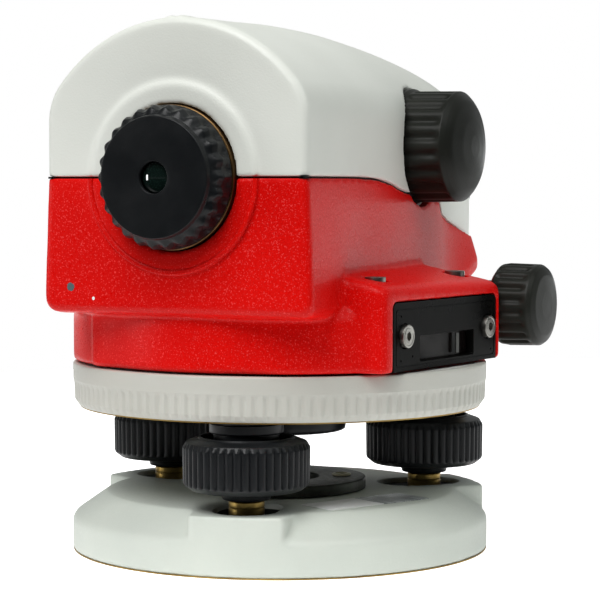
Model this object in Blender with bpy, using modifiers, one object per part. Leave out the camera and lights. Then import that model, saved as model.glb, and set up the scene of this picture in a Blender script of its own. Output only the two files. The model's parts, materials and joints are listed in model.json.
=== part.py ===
"""Automatic surveying level on a three-screw base, built as separate sub-parts.

Frame: +Z up along the standing axis, the telescope runs along Y with the
eyepiece towards -Y, the underside of the base plate is z = 0.  All lengths
below are in millimetres in the axis frame (standing axis at x = y = 0) and
are converted to metres, with the whole model moved by SHIFT_Y, by place().
"""
import bpy
import bmesh
import math
from mathutils import Matrix, Vector

MM = 0.001
SHIFT_Y = -11.0

# ---- driving dimensions, millimetres -------------------------------------
BASE_R = 57.0
BASE_WALL_Z = 9.0
BASE_TOP_R = 47.5
BASE_TOP_Z = 15.7
FOOT_PCR = 42.6
FOOT_ANGLES = (15.5, 135.5, 255.5)
LUG_HALF = 12.35
SPRING_Z0 = 5.0
SPRING_Z1 = 6.0
SCREW_KNOB_R = 16.5
RING_R = 56.8
RING_Z0 = 39.4
RING_Z1 = 51.2
DRUM_R = 57.0
DRUM_Z0 = 51.7
DRUM_Z1 = 66.0
AXIS_Z = 101.1
FRONT_Y = -58.0
BOSS_Y = -59.3
BOSS_R = 24.1
NOSE_Y = 83.6
EYE_FRONT_Y = -68.1
OBJ_FRONT_Y = 90.1
FOCUS_Y = 28.5
FOCUS_Z = 109.9
FOCUS_KNOB_R = 15.4
DRIVE_Y = 38.4
DRIVE_Z = 65.9
DRIVE_KNOB_R = 11.2
DRIVE_OUT_X = 62.9
WHEEL_TEETH = 33
WORM_R = 5.0
PINION_TEETH = 8
PINION_R = 2.5
PLATE_CENTRE = (51.85, -4.55)
PLATE_TURN = -4.8
PLATE_HALF = 28.6
PLATE_Z0 = 52.6
PLATE_Z1 = 69.4
GAP = 0.3
FACET_SHARE = 0.5

# ---- body sections along Y: station, half width, rise above the axis ------
STATIONS = (-58.0, -38.0, -19.0, 0.0, 19.0, 38.0, 57.0, 71.2, 83.6)
HALF_WIDTHS = (37.4, 36.2, 34.5, 33.0, 31.3, 29.5, 27.3, 24.8, 22.0)
RISES = (40.7, 40.8, 40.9, 40.5, 39.2, 37.4, 35.0, 32.8, 30.5)
SEAM_STATIONS = (-58.0, -28.5, -12.0, 2.0, 12.0, 30.0, 43.0, 47.5, 64.0, 83.6)
SEAM_HEIGHTS = (101.1, 101.1, 100.9, 99.5, 97.6, 95.6, 94.5, 90.6, 86.2, 82.4)


# ---- scene and materials --------------------------------------------------
for old in list(bpy.data.objects):
    bpy.data.objects.remove(old, do_unlink=True)

PARTS = bpy.data.collections.new("automatic_level")
bpy.context.scene.collection.children.link(PARTS)
CUTTERS = bpy.data.collections.new("cutters")
bpy.context.scene.collection.children.link(CUTTERS)


def material(name, colour, roughness, metallic=0.0):
    """One Principled material."""
    mat = bpy.data.materials.new(name)
    mat.use_nodes = True
    shader = mat.node_tree.nodes["Principled BSDF"]
    shader.inputs["Base Color"].default_value = (*colour, 1.0)
    shader.inputs["Roughness"].default_value = roughness
    shader.inputs["Metallic"].default_value = metallic
    return mat


def interp(x, xs, ys):
    """Piecewise linear value of ys at x."""
    if x <= xs[0]:
        return ys[0]
    for i in range(1, len(xs)):
        if x <= xs[i]:
            t = (x - xs[i - 1]) / (xs[i] - xs[i - 1])
            return ys[i - 1] + t * (ys[i] - ys[i - 1])
    return ys[-1]


def half_width(y):
    return interp(y, STATIONS, HALF_WIDTHS)


def rise(y):
    return interp(y, STATIONS, RISES)


def seam(y):
    return interp(y, SEAM_STATIONS, SEAM_HEIGHTS)


def place(obj, centre=(0.0, 0.0, 0.0), turn=(0.0, 0.0, 0.0)):
    """Puts an object at a point of the axis frame."""
    obj.location = (centre[0] * MM, (centre[1] + SHIFT_Y) * MM, centre[2] * MM)
    obj.rotation_euler = turn
    return obj


def add_object(name, mesh, mat=None, cutter=False):
    obj = bpy.data.objects.new(name, mesh)
    if cutter:
        CUTTERS.objects.link(obj)
        obj.hide_render = True
        obj.display_type = "WIRE"
    else:
        PARTS.objects.link(obj)
        obj.data.materials.append(mat)
    return obj


AXES = {
    "Z": (0.0, 0.0, 0.0),
    "X": (0.0, math.pi / 2, 0.0),
    "-X": (0.0, -math.pi / 2, 0.0),
    "Y": (-math.pi / 2, 0.0, 0.0),
    "-Y": (math.pi / 2, 0.0, 0.0),
}


def facets(steps):
    """Facet count of a turned piece, an even number."""
    return max(8, 2 * round(FACET_SHARE * steps / 2))


def turned(name, mat, profile, steps=32, centre=(0, 0, 0), axis="Z",
           closed=False, cutter=False):
    """A Screw modifier around the local Z axis; profile is (radius, height).

    The local axis points along the named axis of the model.
    """
    points = list(profile)
    if closed:
        area = 0.0
        for i in range(len(points)):
            r0, z0 = points[i]
            r1, z1 = points[(i + 1) % len(points)]
            area += r0 * z1 - r1 * z0
        if area > 0:
            points.reverse()
    elif points[0][1] < points[-1][1]:
        points.reverse()
    mesh = bpy.data.meshes.new(name)
    verts = [(r * MM, 0.0, z * MM) for r, z in points]
    edges = [(i, i + 1) for i in range(len(points) - 1)]
    if closed:
        edges.append((len(points) - 1, 0))
    mesh.from_pydata(verts, edges, [])
    obj = add_object(name, mesh, mat, cutter)
    mod = obj.modifiers.new("Turn", "SCREW")
    mod.axis = "Z"
    mod.angle = 2 * math.pi
    mod.steps = facets(steps)
    mod.render_steps = facets(steps)
    mod.use_merge_vertices = True
    mod.merge_threshold = 0.00001
    mod.use_smooth_shade = False
    place(obj, centre, AXES[axis])
    return obj


def rod(name, mat, radius, z0, z1, steps=24, centre=(0, 0, 0), axis="Z", cutter=False):
    """A plain cylinder between two heights of its own axis."""
    return turned(name, mat, [(0, z1), (radius, z1), (radius, z0), (0, z0)],
                  steps, centre, axis, cutter=cutter)


def ring(name, mat, inner, outer, z0, z1, steps=32, centre=(0, 0, 0), axis="Z", cutter=False):
    """A plain tube between two heights of its own axis."""
    return turned(name, mat, [(outer, z1), (outer, z0), (inner, z0), (inner, z1)],
                  steps, centre, axis, True, cutter)


def mesh_object(name, mat, verts, faces, centre=(0, 0, 0), turn=(0, 0, 0), cutter=False):
    """A closed mesh from points in millimetres, faces turned outwards."""
    mesh = bpy.data.meshes.new(name)
    bm = bmesh.new()
    made = [bm.verts.new((v[0] * MM, v[1] * MM, v[2] * MM)) for v in verts]
    for face in faces:
        bm.faces.new([made[i] for i in face])
    bmesh.ops.recalc_face_normals(bm, faces=bm.faces)
    bm.to_mesh(mesh)
    bm.free()
    return place(add_object(name, mesh, mat, cutter), centre, turn)


def block(name, mat, low, high, centre=(0, 0, 0), turn=(0, 0, 0), cutter=False):
    """A box between two corners."""
    xs, ys, zs = zip(low, high)
    verts = [(x, y, z) for x in xs for y in ys for z in zs]
    faces = [(0, 1, 3, 2), (4, 6, 7, 5), (0, 4, 5, 1), (2, 3, 7, 6), (0, 2, 6, 4), (1, 5, 7, 3)]
    return mesh_object(name, mat, verts, faces, centre, turn, cutter)


def loft(name, mat, sections, capped=True, centre=(0, 0, 0), turn=(0, 0, 0), cutter=False):
    """Joins closed rings of points; without caps the last ring meets the first."""
    n = len(sections[0])
    verts = [p for s in sections for p in s]
    faces = []
    count = len(sections)
    for i in range(count if not capped else count - 1):
        a = i * n
        b = ((i + 1) % count) * n
        for k in range(n):
            m = (k + 1) % n
            faces.append((a + k, a + m, b + m, b + k))
    if capped:
        faces.append(tuple(range(n)))
        faces.append(tuple(range((count - 1) * n, count * n)))
    return mesh_object(name, mat, verts, faces, centre, turn, cutter)


def prism(name, mat, outline, z0, z1, centre=(0, 0, 0), turn=(0, 0, 0), cutter=False):
    """A flat outline pushed up from z0 to z1."""
    low = [(x, y, z0) for x, y in outline]
    high = [(x, y, z1) for x, y in outline]
    return loft(name, mat, [low, high], True, centre, turn, cutter)


def combine(obj, other, operation):
    mod = obj.modifiers.new(operation.title(), "BOOLEAN")
    mod.operation = operation
    mod.solver = "EXACT"
    mod.object = other
    return obj


def cut(obj, *others):
    for other in others:
        combine(obj, other, "DIFFERENCE")
    return obj


def join(obj, *others):
    for other in others:
        combine(obj, other, "UNION")
    return obj


def fluted(name, mat, rings, flutes, centre=(0, 0, 0), axis="Z", closed=False):
    """A grip: rings of (radius, height, groove depth) round the local Z axis."""
    count = flutes * 2
    sections = []
    for radius, height, depth in rings:
        section = []
        for k in range(count):
            r = radius - (depth if k % 2 else 0.0)
            a = 2 * math.pi * k / count
            section.append((r * math.cos(a), r * math.sin(a), height))
        sections.append(section)
    return loft(name, mat, sections, not closed, centre, AXES[axis])


def polar(radius, azimuth, z=0.0):
    """A point at an azimuth counted from -Y towards +X."""
    a = math.radians(azimuth)
    return (radius * math.sin(a), -radius * math.cos(a), z)


# ---- materials ------------------------------------------------------------
GREY_PAINT = material("grey_paint", (0.62, 0.66, 0.62), 0.45)
RING_GREY = material("ring_grey", (0.58, 0.58, 0.53), 0.5)
COVER_GREY = material("cover_grey", (0.68, 0.70, 0.66), 0.4)
RED_PAINT = material("red_paint", (0.72, 0.012, 0.012), 0.3)
BLACK_RUBBER = material("black_grip", (0.015, 0.016, 0.018), 0.55)
BLACK_METAL = material("black_metal", (0.02, 0.02, 0.022), 0.4, 0.3)
DARK_DISC = material("dark_disc", (0.05, 0.055, 0.05), 0.45, 0.5)
STEEL = material("steel", (0.55, 0.55, 0.56), 0.3, 1.0)
BRASS = material("brass", (0.45, 0.33, 0.12), 0.35, 1.0)
BRONZE = material("bronze", (0.20, 0.11, 0.05), 0.4, 1.0)
GLASS = material("glass", (0.75, 0.85, 0.82), 0.05)
ALUMINIUM = material("aluminium", (0.6, 0.61, 0.63), 0.4, 1.0)
LEVEL_LIQUID = material("level_liquid", (0.65, 0.75, 0.25), 0.1)
SCALE_WHITE = material("scale_white", (0.8, 0.8, 0.76), 0.5)


# ---- base -----------------------------------------------------------------
def build_base():
    base = turned("base_plate", GREY_PAINT, [
        (12.5, BASE_TOP_Z), (BASE_TOP_R, BASE_TOP_Z), (56.2, BASE_WALL_Z + 0.6),
        (BASE_R, BASE_WALL_Z - 0.4), (BASE_R, 0.9), (56.2, 0.0), (52.3, 0.0),
        (52.3, 8.6), (47.0, 12.7), (12.5, 12.7)], 48, closed=True)
    for i, azimuth in enumerate(FOOT_ANGLES):
        span = math.asin(LUG_HALF / BASE_R)
        arc = [polar(BASE_R - 0.05, azimuth + math.degrees(span * t))[:2]
               for t in (-1.0, -0.5, 0.0, 0.5, 1.0)]
        turn = math.radians(azimuth - 90.0)
        inner = [(45.0 * math.cos(turn) - s * LUG_HALF * math.sin(turn),
                  45.0 * math.sin(turn) + s * LUG_HALF * math.cos(turn)) for s in (1.0, -1.0)]
        lug = prism(f"lug_{i + 1}", None, arc + inner, 8.2, BASE_TOP_Z - 0.02, cutter=True)
        join(base, lug)
    for i, azimuth in enumerate(FOOT_ANGLES):
        outline = []
        for k in range(12):
            a = 2 * math.pi * (k + 0.5) / 12
            lift = 3.3 if math.cos(a) > 0 else -3.3
            outline.append((8.35 * math.cos(a) + lift, 8.35 * math.sin(a)))
        x, y, _ = polar(41.0, azimuth)
        slot = prism(f"foot_slot_{i + 1}", None, outline, 4.0, 20.0, (x, y, 0),
                     (0, 0, math.radians(azimuth - 90.0)), True)
        cut(base, slot)
    for i in range(3):
        x, y, _ = polar(17.0, 117.5 + 120 * i)
        cut(base, rod(f"rivet_hole_{i + 1}", None, 2.1, 10.0, 22.0, 12, (x, y, 0), cutter=True))

    disc = turned("centre_disc", DARK_DISC, [
        (10.8, 19.0), (23.1, 19.0), (23.7, 18.4), (23.7, 16.0), (10.8, 16.0)], 40, closed=True)
    for i in range(3):
        x, y, _ = polar(17.0, 117.5 + 120 * i)
        cut(disc, rod(f"disc_hole_{i + 1}", None, 2.1, 10.0, 22.0, 12, (x, y, 0), cutter=True))
    turned("tripod_bush", STEEL, [
        (7.94, 15.5), (12.1, 15.5), (12.1, 12.4), (14.7, 12.4), (14.7, 9.6), (12.1, 9.6),
        (12.1, 3.2), (7.94, 3.2)], 32, closed=True)
    for i in range(3):
        x, y, _ = polar(17.0, 117.5 + 120 * i)
        turned(f"disc_rivet_{i + 1}", BRASS, [
            (1.2, 19.6), (2.2, 19.8), (2.6, 19.4), (1.8, 19.2), (1.8, 11.4), (1.2, 11.4)],
            16, (x, y, 0), closed=True)


def build_footscrews():
    for i, azimuth in enumerate(FOOT_ANGLES):
        x, y, _ = polar(FOOT_PCR, azimuth)
        r = SCREW_KNOB_R
        fluted(f"footscrew_knob_{i + 1}", BLACK_RUBBER, [
            (3.8, 18.5, 0), (6.2, 18.5, 0), (6.6, 20.5, 0), (14.6, 21.1, 0), (r - 0.3, 22.4, 0.4),
            (r, 31.4, 0.5), (r - 1.0, 33.4, 0.2), (11.4, 34.3, 0), (11.3, 35.0, 0),
            (10.7, 35.0, 0), (10.7, 30.0, 0), (3.8, 30.0, 0)], 13, (x, y, 0), closed=True)
        turned(f"footscrew_spindle_{i + 1}", BRASS, [
            (0, 42.0), (3.0, 42.0), (3.5, 41.4), (3.5, 18.3), (4.65, 18.1),
            (4.65, 4.2), (3.0, 2.4), (0, 2.4)], 20, (x, y, 0))


def build_tension_spring():
    spring = ring("tension_spring", STEEL, 17.0, 25.0, SPRING_Z0, SPRING_Z1, 36)
    for i, azimuth in enumerate(FOOT_ANGLES):
        turn = (0, 0, math.radians(azimuth - 90.0))
        join(spring, block(f"spring_arm_{i + 1}", None, (21.0, -4.5, SPRING_Z0 + 0.01),
                           (36.5, 4.5, SPRING_Z1 - 0.01), turn=turn, cutter=True))
        x, y, _ = polar(FOOT_PCR, azimuth)
        join(spring, rod(f"spring_eye_{i + 1}", None, 8.3, SPRING_Z0 + 0.02, SPRING_Z1 - 0.02,
                         20, (x, y, 0), cutter=True))
        cut(spring, rod(f"spring_eye_hole_{i + 1}", None, 6.3, 0.0, 12.0, 16, (x, y, 0), cutter=True))


# ---- levelling head and horizontal circle ---------------------------------
def gear_outline(teeth, pitch_radius, module, fill=0.40, twist=0.0):
    """Trapezoid teeth round a pitch circle."""
    points = []
    for k in range(teeth):
        a = 2 * math.pi * k / teeth + twist
        step = 2 * math.pi / teeth
        for share, radius in ((-0.5 * fill - 0.10, pitch_radius - 1.15 * module),
                              (-0.5 * fill + 0.09, pitch_radius + 0.85 * module),
                              (0.5 * fill - 0.09, pitch_radius + 0.85 * module),
                              (0.5 * fill + 0.10, pitch_radius - 1.15 * module)):
            b = a + step * share
            points.append((radius * math.cos(b), radius * math.sin(b)))
    return points


def build_levelling_head():
    head = turned("levelling_head", BLACK_METAL, [
        (9.4, 31.9), (17.6, 31.9), (18.2, 32.6), (18.2, 45.5), (14.0, 45.5), (14.0, 70.0),
        (9.4, 70.0)], 32, closed=True)
    for i, azimuth in enumerate(FOOT_ANGLES):
        turn = (0, 0, math.radians(azimuth - 90.0))
        join(head, block(f"head_arm_{i + 1}", None, (15.0, -9.6, 38.2), (43.0, 9.6, 45.4),
                         turn=turn, cutter=True))
        x, y, _ = polar(FOOT_PCR, azimuth)
        join(head, rod(f"head_boss_{i + 1}", None, 10.2, 38.22, 45.38, 24, (x, y, 0), cutter=True))
        cut(head, rod(f"head_bore_{i + 1}", None, 8.2, 36.0, 48.0, 24, (x, y, 0), cutter=True))
        turned(f"footscrew_bush_{i + 1}", BLACK_METAL, [
            (7.6, 46.0), (7.6, 37.9), (9.1, 37.9), (9.1, 35.4), (8.6, 33.0), (5.5, 33.0),
            (5.5, 46.0)],
            24, (x, y, 0), closed=True)

    pitch_radius = DRIVE_Y - WORM_R
    module = 2 * pitch_radius / WHEEL_TEETH
    lead = math.atan(module / (2 * WORM_R))
    half = 1.8
    twist = half * math.tan(lead) / pitch_radius
    sections = []
    for radius_scale, z, sign in ((1, DRIVE_Z - half, -1), (1, DRIVE_Z + half, 1),
                                  (0, DRIVE_Z + half, 1), (0, DRIVE_Z - half, -1)):
        outline = gear_outline(WHEEL_TEETH, pitch_radius, module, twist=math.pi / 2 - sign * twist)
        if radius_scale:
            sections.append([(x, y, z) for x, y in outline])
        else:
            sections.append([(14.35 * x / math.hypot(x, y), 14.35 * y / math.hypot(x, y), z)
                             for x, y in outline])
    loft("worm_wheel", BRONZE, sections, False)


def build_circle():
    turned("circle_ring", RING_GREY, [
        (RING_R, RING_Z1 - 0.6), (RING_R, 47.0), (RING_R - 0.3, 46.6), (RING_R - 0.3, 41.2),
        (RING_R - 1.6, RING_Z0), (53.3, RING_Z0), (53.3, 48.2), (18.0, 48.2), (18.0, 45.9),
        (14.4, 45.9), (14.4, 50.6), (54.2, 50.6), (54.4, RING_Z1), (56.2, RING_Z1)],
        64, closed=True)
    ring("circle_scale", SCALE_WHITE, 38.0, 53.6, 50.75, 51.1, 48)


# ---- housing --------------------------------------------------------------
TOP_ARC_R = 46.3 / 42.6
SIDE_ARC_R = 16.0


def arch(width, height, count_side=4, count_top=6):
    """Three-arc arch from the right foot over the top to the left foot."""
    w, t = 39.6, 42.6
    r1, r2 = 46.3, SIDE_ARC_R
    low = t - r1
    x2 = w - r2
    z2 = low + math.sqrt((r1 - r2) ** 2 - x2 ** 2)
    bend = math.atan2(z2 - low, x2)
    right = []
    for k in range(count_side + 1):
        a = bend * k / count_side
        right.append((x2 + r2 * math.cos(a), z2 + r2 * math.sin(a)))
    top = []
    for k in range(1, count_top):
        a = bend + (math.pi - 2 * bend) * k / count_top
        top.append((r1 * math.cos(a), low + r1 * math.sin(a)))
    left = [(-x, z) for x, z in reversed(right)]
    return [(x * width / w, z * height / t) for x, z in right + top + left]


def cover_section(y, inset=0.0, drop=0.0, width_trim=0.0):
    """One closed section of the cover at a station."""
    w = half_width(y) - inset - width_trim
    t = rise(y) - inset - width_trim
    low = seam(y) + 0.35 - drop
    foot = [(w, y, low)]
    over = [(x, y, AXIS_Z + z) for x, z in arch(w, t)]
    return foot + over + [(-w, y, low)]


def body_section(y, inset=0.0, floor=66.0, lift=0.0, trim=0.0):
    """One closed section of the lower housing at a station."""
    w = half_width(y) - inset - trim
    wide = w + 1.1 + 3.4 * min(max((y - 47.5) / 28.5, 0.0), 1.0)
    top = seam(y) - 0.35 + lift
    cham = 3.0 if not inset else 1.0
    return [(w, y, top), (wide, y, floor + cham), (wide - cham, y, floor),
            (-wide + cham, y, floor), (-wide, y, floor + cham), (-w, y, top)]


def build_cover():
    ys = (-58.0, -57.0, -48.0, -38.0, -28.5, -12.0, 2.0, 12.0, 21.0, 30.0, 38.0, 43.0, 47.5,
          57.0, 64.0, 76.0, 82.0, NOSE_Y)
    trims = (1.2, 0.0, 0, 0, 0, 0, 0, 0, 0, 0, 0, 0, 0, 0, 0, 0, 0.3, 1.6)
    outer = [cover_section(y, width_trim=t) for y, t in zip(ys, trims)]
    cover = loft("upper_cover", COVER_GREY, outer)
    inner_ys = (-55.4, -38.0, -19.0, 0.0, 19.0, 38.0, 57.0, 71.2, 81.0)
    inner = loft("cover_inside", None, [cover_section(y, 2.4, 6.0) for y in inner_ys], cutter=True)
    boss = rod("focus_boss", None, 17.6, 21.6, 34.0, 24, (0, FOCUS_Y, FOCUS_Z), "X", cutter=True)
    cut(inner, boss)
    eye_boss = rod("eye_boss_top", None, BOSS_R, 56.6, -BOSS_Y, 40, (0, 0, AXIS_Z), "-Y",
                   cutter=True)
    below = block("eye_boss_top_trim", None, (-30, -62, 60), (30, -45, AXIS_Z + 0.35), cutter=True)
    cut(eye_boss, below)
    join(cover, eye_boss)
    sight = block("sight_pad", None, (-3.6, -57.0, 139.0), (3.6, -50.0, 142.6), cutter=True)
    notch = block("sight_notch", None, (-0.8, -60.0, 141.2), (0.8, -48.0, 144.0), cutter=True)
    join(cover, sight)
    cut(cover, inner)
    cut(cover, notch)
    cut(cover, rod("eye_bore_top", None, 18.6, 45.0, 65.0, 36, (0, 0, AXIS_Z), "-Y", cutter=True))
    cut(cover, rod("objective_bore", None, 19.5, 78.0, 90.0, 32, (0, 0, AXIS_Z), "Y", cutter=True))
    cut(cover, rod("focus_pocket", None, 15.9, 24.8, 45.0, 32, (0, FOCUS_Y, FOCUS_Z), "X",
                   cutter=True))
    cut(cover, rod("focus_bush_hole", None, 5.3, 15.0, 30.0, 20, (0, FOCUS_Y, FOCUS_Z), "X",
                   cutter=True))


def box_outline(inset=0.0, inner_x=30.0):
    """Plan of the window housing on the right side."""
    return [(inner_x, -38.0 + inset), (47.4 - inset, -37.6 + inset), (49.15 - inset, -36.2 + inset),
            (54.35 - inset, 24.8 - inset), (53.6 - inset, 26.0 - inset), (inner_x, 26.0 - inset)]


def window_box(name, inset, z0, top_edge, inner_x=30.0):
    outline = box_outline(inset, inner_x)
    low = [(x, y, z0) for x, y in outline]
    high = [(x, y, top_edge + (52.0 - x) * 0.2) for x, y in outline]
    return loft(name, None, [low, high], cutter=True)


def plate_place(local_x, local_y, z):
    """A point of the tilted plate frame in the axis frame."""
    a = math.radians(PLATE_TURN)
    return (PLATE_CENTRE[0] + local_x * math.cos(a) - local_y * math.sin(a),
            PLATE_CENTRE[1] + local_x * math.sin(a) + local_y * math.cos(a), z)


def build_housing():
    ys = (-58.0, -57.0, -48.0, -38.0, -28.5, -12.0, 2.0, 12.0, 21.0, 30.0, 38.0, 43.0, 47.5,
          57.0, 64.0, 76.0)
    trims = (1.2, 0.0, 0, 0, 0, 0, 0, 0, 0, 0, 0, 0, 0, 0, 0, 1.0)
    floors = (67.5, 66.3, 66, 66, 66, 66, 66, 66, 66, 66, 66, 66, 66.5, 68, 70, 73)
    housing = loft("lower_housing", RED_PAINT,
                   [body_section(y, 0.0, f, trim=t) for y, t, f in zip(ys, trims, floors)])
    drum = turned("drum", None, [
        (0, 77.0), (30, 77.0), (48, 73.0), (54.6, 70.2), (DRUM_R, DRUM_Z1), (DRUM_R, DRUM_Z0),
        (0, DRUM_Z0)], 48, cutter=True)
    join(housing, drum)
    join(housing, window_box("window_box", 0.0, DRUM_Z0 + 0.02, 73.3))
    join(housing, rod("level_pad", None, 10.2, 60.0, 75.2, 24, (-45.5, -6.0, 0), cutter=True))
    eye_boss = rod("eye_boss_low", None, BOSS_R, 56.6, -BOSS_Y, 40, (0, 0, AXIS_Z), "-Y",
                   cutter=True)
    cut(eye_boss, block("eye_boss_low_trim", None, (-30, -62, AXIS_Z - 0.35), (30, -45, 140),
                        cutter=True))
    join(housing, eye_boss)

    inner_ys = (-55.4, -38.0, -19.0, 0.0, 19.0, 38.0, 57.0, 73.0)
    inner_floors = (69, 69, 69, 69, 69, 69, 71, 77)
    inside = loft("housing_inside", None,
                  [body_section(y, 2.6, f, 10.0) for y, f in zip(inner_ys, inner_floors)],
                  cutter=True)
    join(inside, turned("drum_inside", None, [
        (0, 74.0), (29, 74.0), (47, 70.2), (52.4, 67.8), (54.2, 65.0), (54.2, 54.6),
        (0, 54.6)], 48, cutter=True))
    cut(inside, block("axis_bridge", None, (-60, -14, 76.5), (60, 14, 79.6), cutter=True))
    cut(inside, window_box("window_box_core", 3.6, 50.0, 69.8, 38.8))
    cut(housing, inside)
    cut(housing, rod("floor_hole", None, 15.4, 45.0, 60.0, 32, cutter=True))
    cut(housing, rod("axis_pin_hole", None, 4.4, 74.0, 85.0, 16, cutter=True))
    cut(housing, rod("eye_bore_low", None, 18.6, 45.0, 65.0, 36, (0, 0, AXIS_Z), "-Y",
                     cutter=True))
    cut(housing, rod("drive_hole", None, 5.3, -60.0, 60.0, 20, (0, DRIVE_Y, DRIVE_Z), "X",
                     cutter=True))
    for name, axis in (("drive_pocket_right", "X"), ("drive_pocket_left", "-X")):
        cut(housing, rod(name, None, 12.1, 48.0, 70.0, 32, (0, DRIVE_Y, DRIVE_Z), axis,
                         cutter=True))
    cut(housing, rod("tube_bore_low", None, 19.1, 60.0, 90.0, 32, (0, 0, AXIS_Z), "Y",
                     cutter=True))
    cut(housing, rod("focus_pocket_low", None, 15.9, 24.8, 45.0, 32, (0, FOCUS_Y, FOCUS_Z), "X",
                     cutter=True))
    turn = (0, 0, math.radians(PLATE_TURN))
    centre = (PLATE_CENTRE[0], PLATE_CENTRE[1], 0)
    cut(housing, block("plate_pocket", None, (-2.3, -PLATE_HALF - GAP, PLATE_Z0 - GAP),
                       (6.0, PLATE_HALF + GAP, PLATE_Z1 + GAP), centre, turn, True))
    cut(housing, block("glass_pocket", None, (-3.7, -16.2, 52.9), (0.0, 16.7, 61.8), centre, turn,
                       True))
    cut(housing, block("light_path", None, (-20.0, -12.0, 55.4), (0.0, 12.0, 60.4), centre, turn,
                       True))
    for i, offset in enumerate((-22.6, 23.2)):
        x, y, _ = plate_place(0, offset, 0)
        tool = rod(f"plate_tap_{i + 1}", None, 1.8, -9.0, 2.0, 12, (x, y, 60.8), "X", cutter=True)
        tool.rotation_euler = (0, math.pi / 2, math.radians(PLATE_TURN))
        cut(housing, tool)
    for i, (x, y) in enumerate(((41.8, -27.6), (43.7, 19.8))):
        cut(housing, rod(f"ledge_recess_{i + 1}", None, 3.1, 72.6, 90.0, 16, (x, y, 0),
                         cutter=True))
        cut(housing, rod(f"ledge_tap_{i + 1}", None, 1.7, 66.5, 80.0, 12, (x, y, 0), cutter=True))


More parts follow.
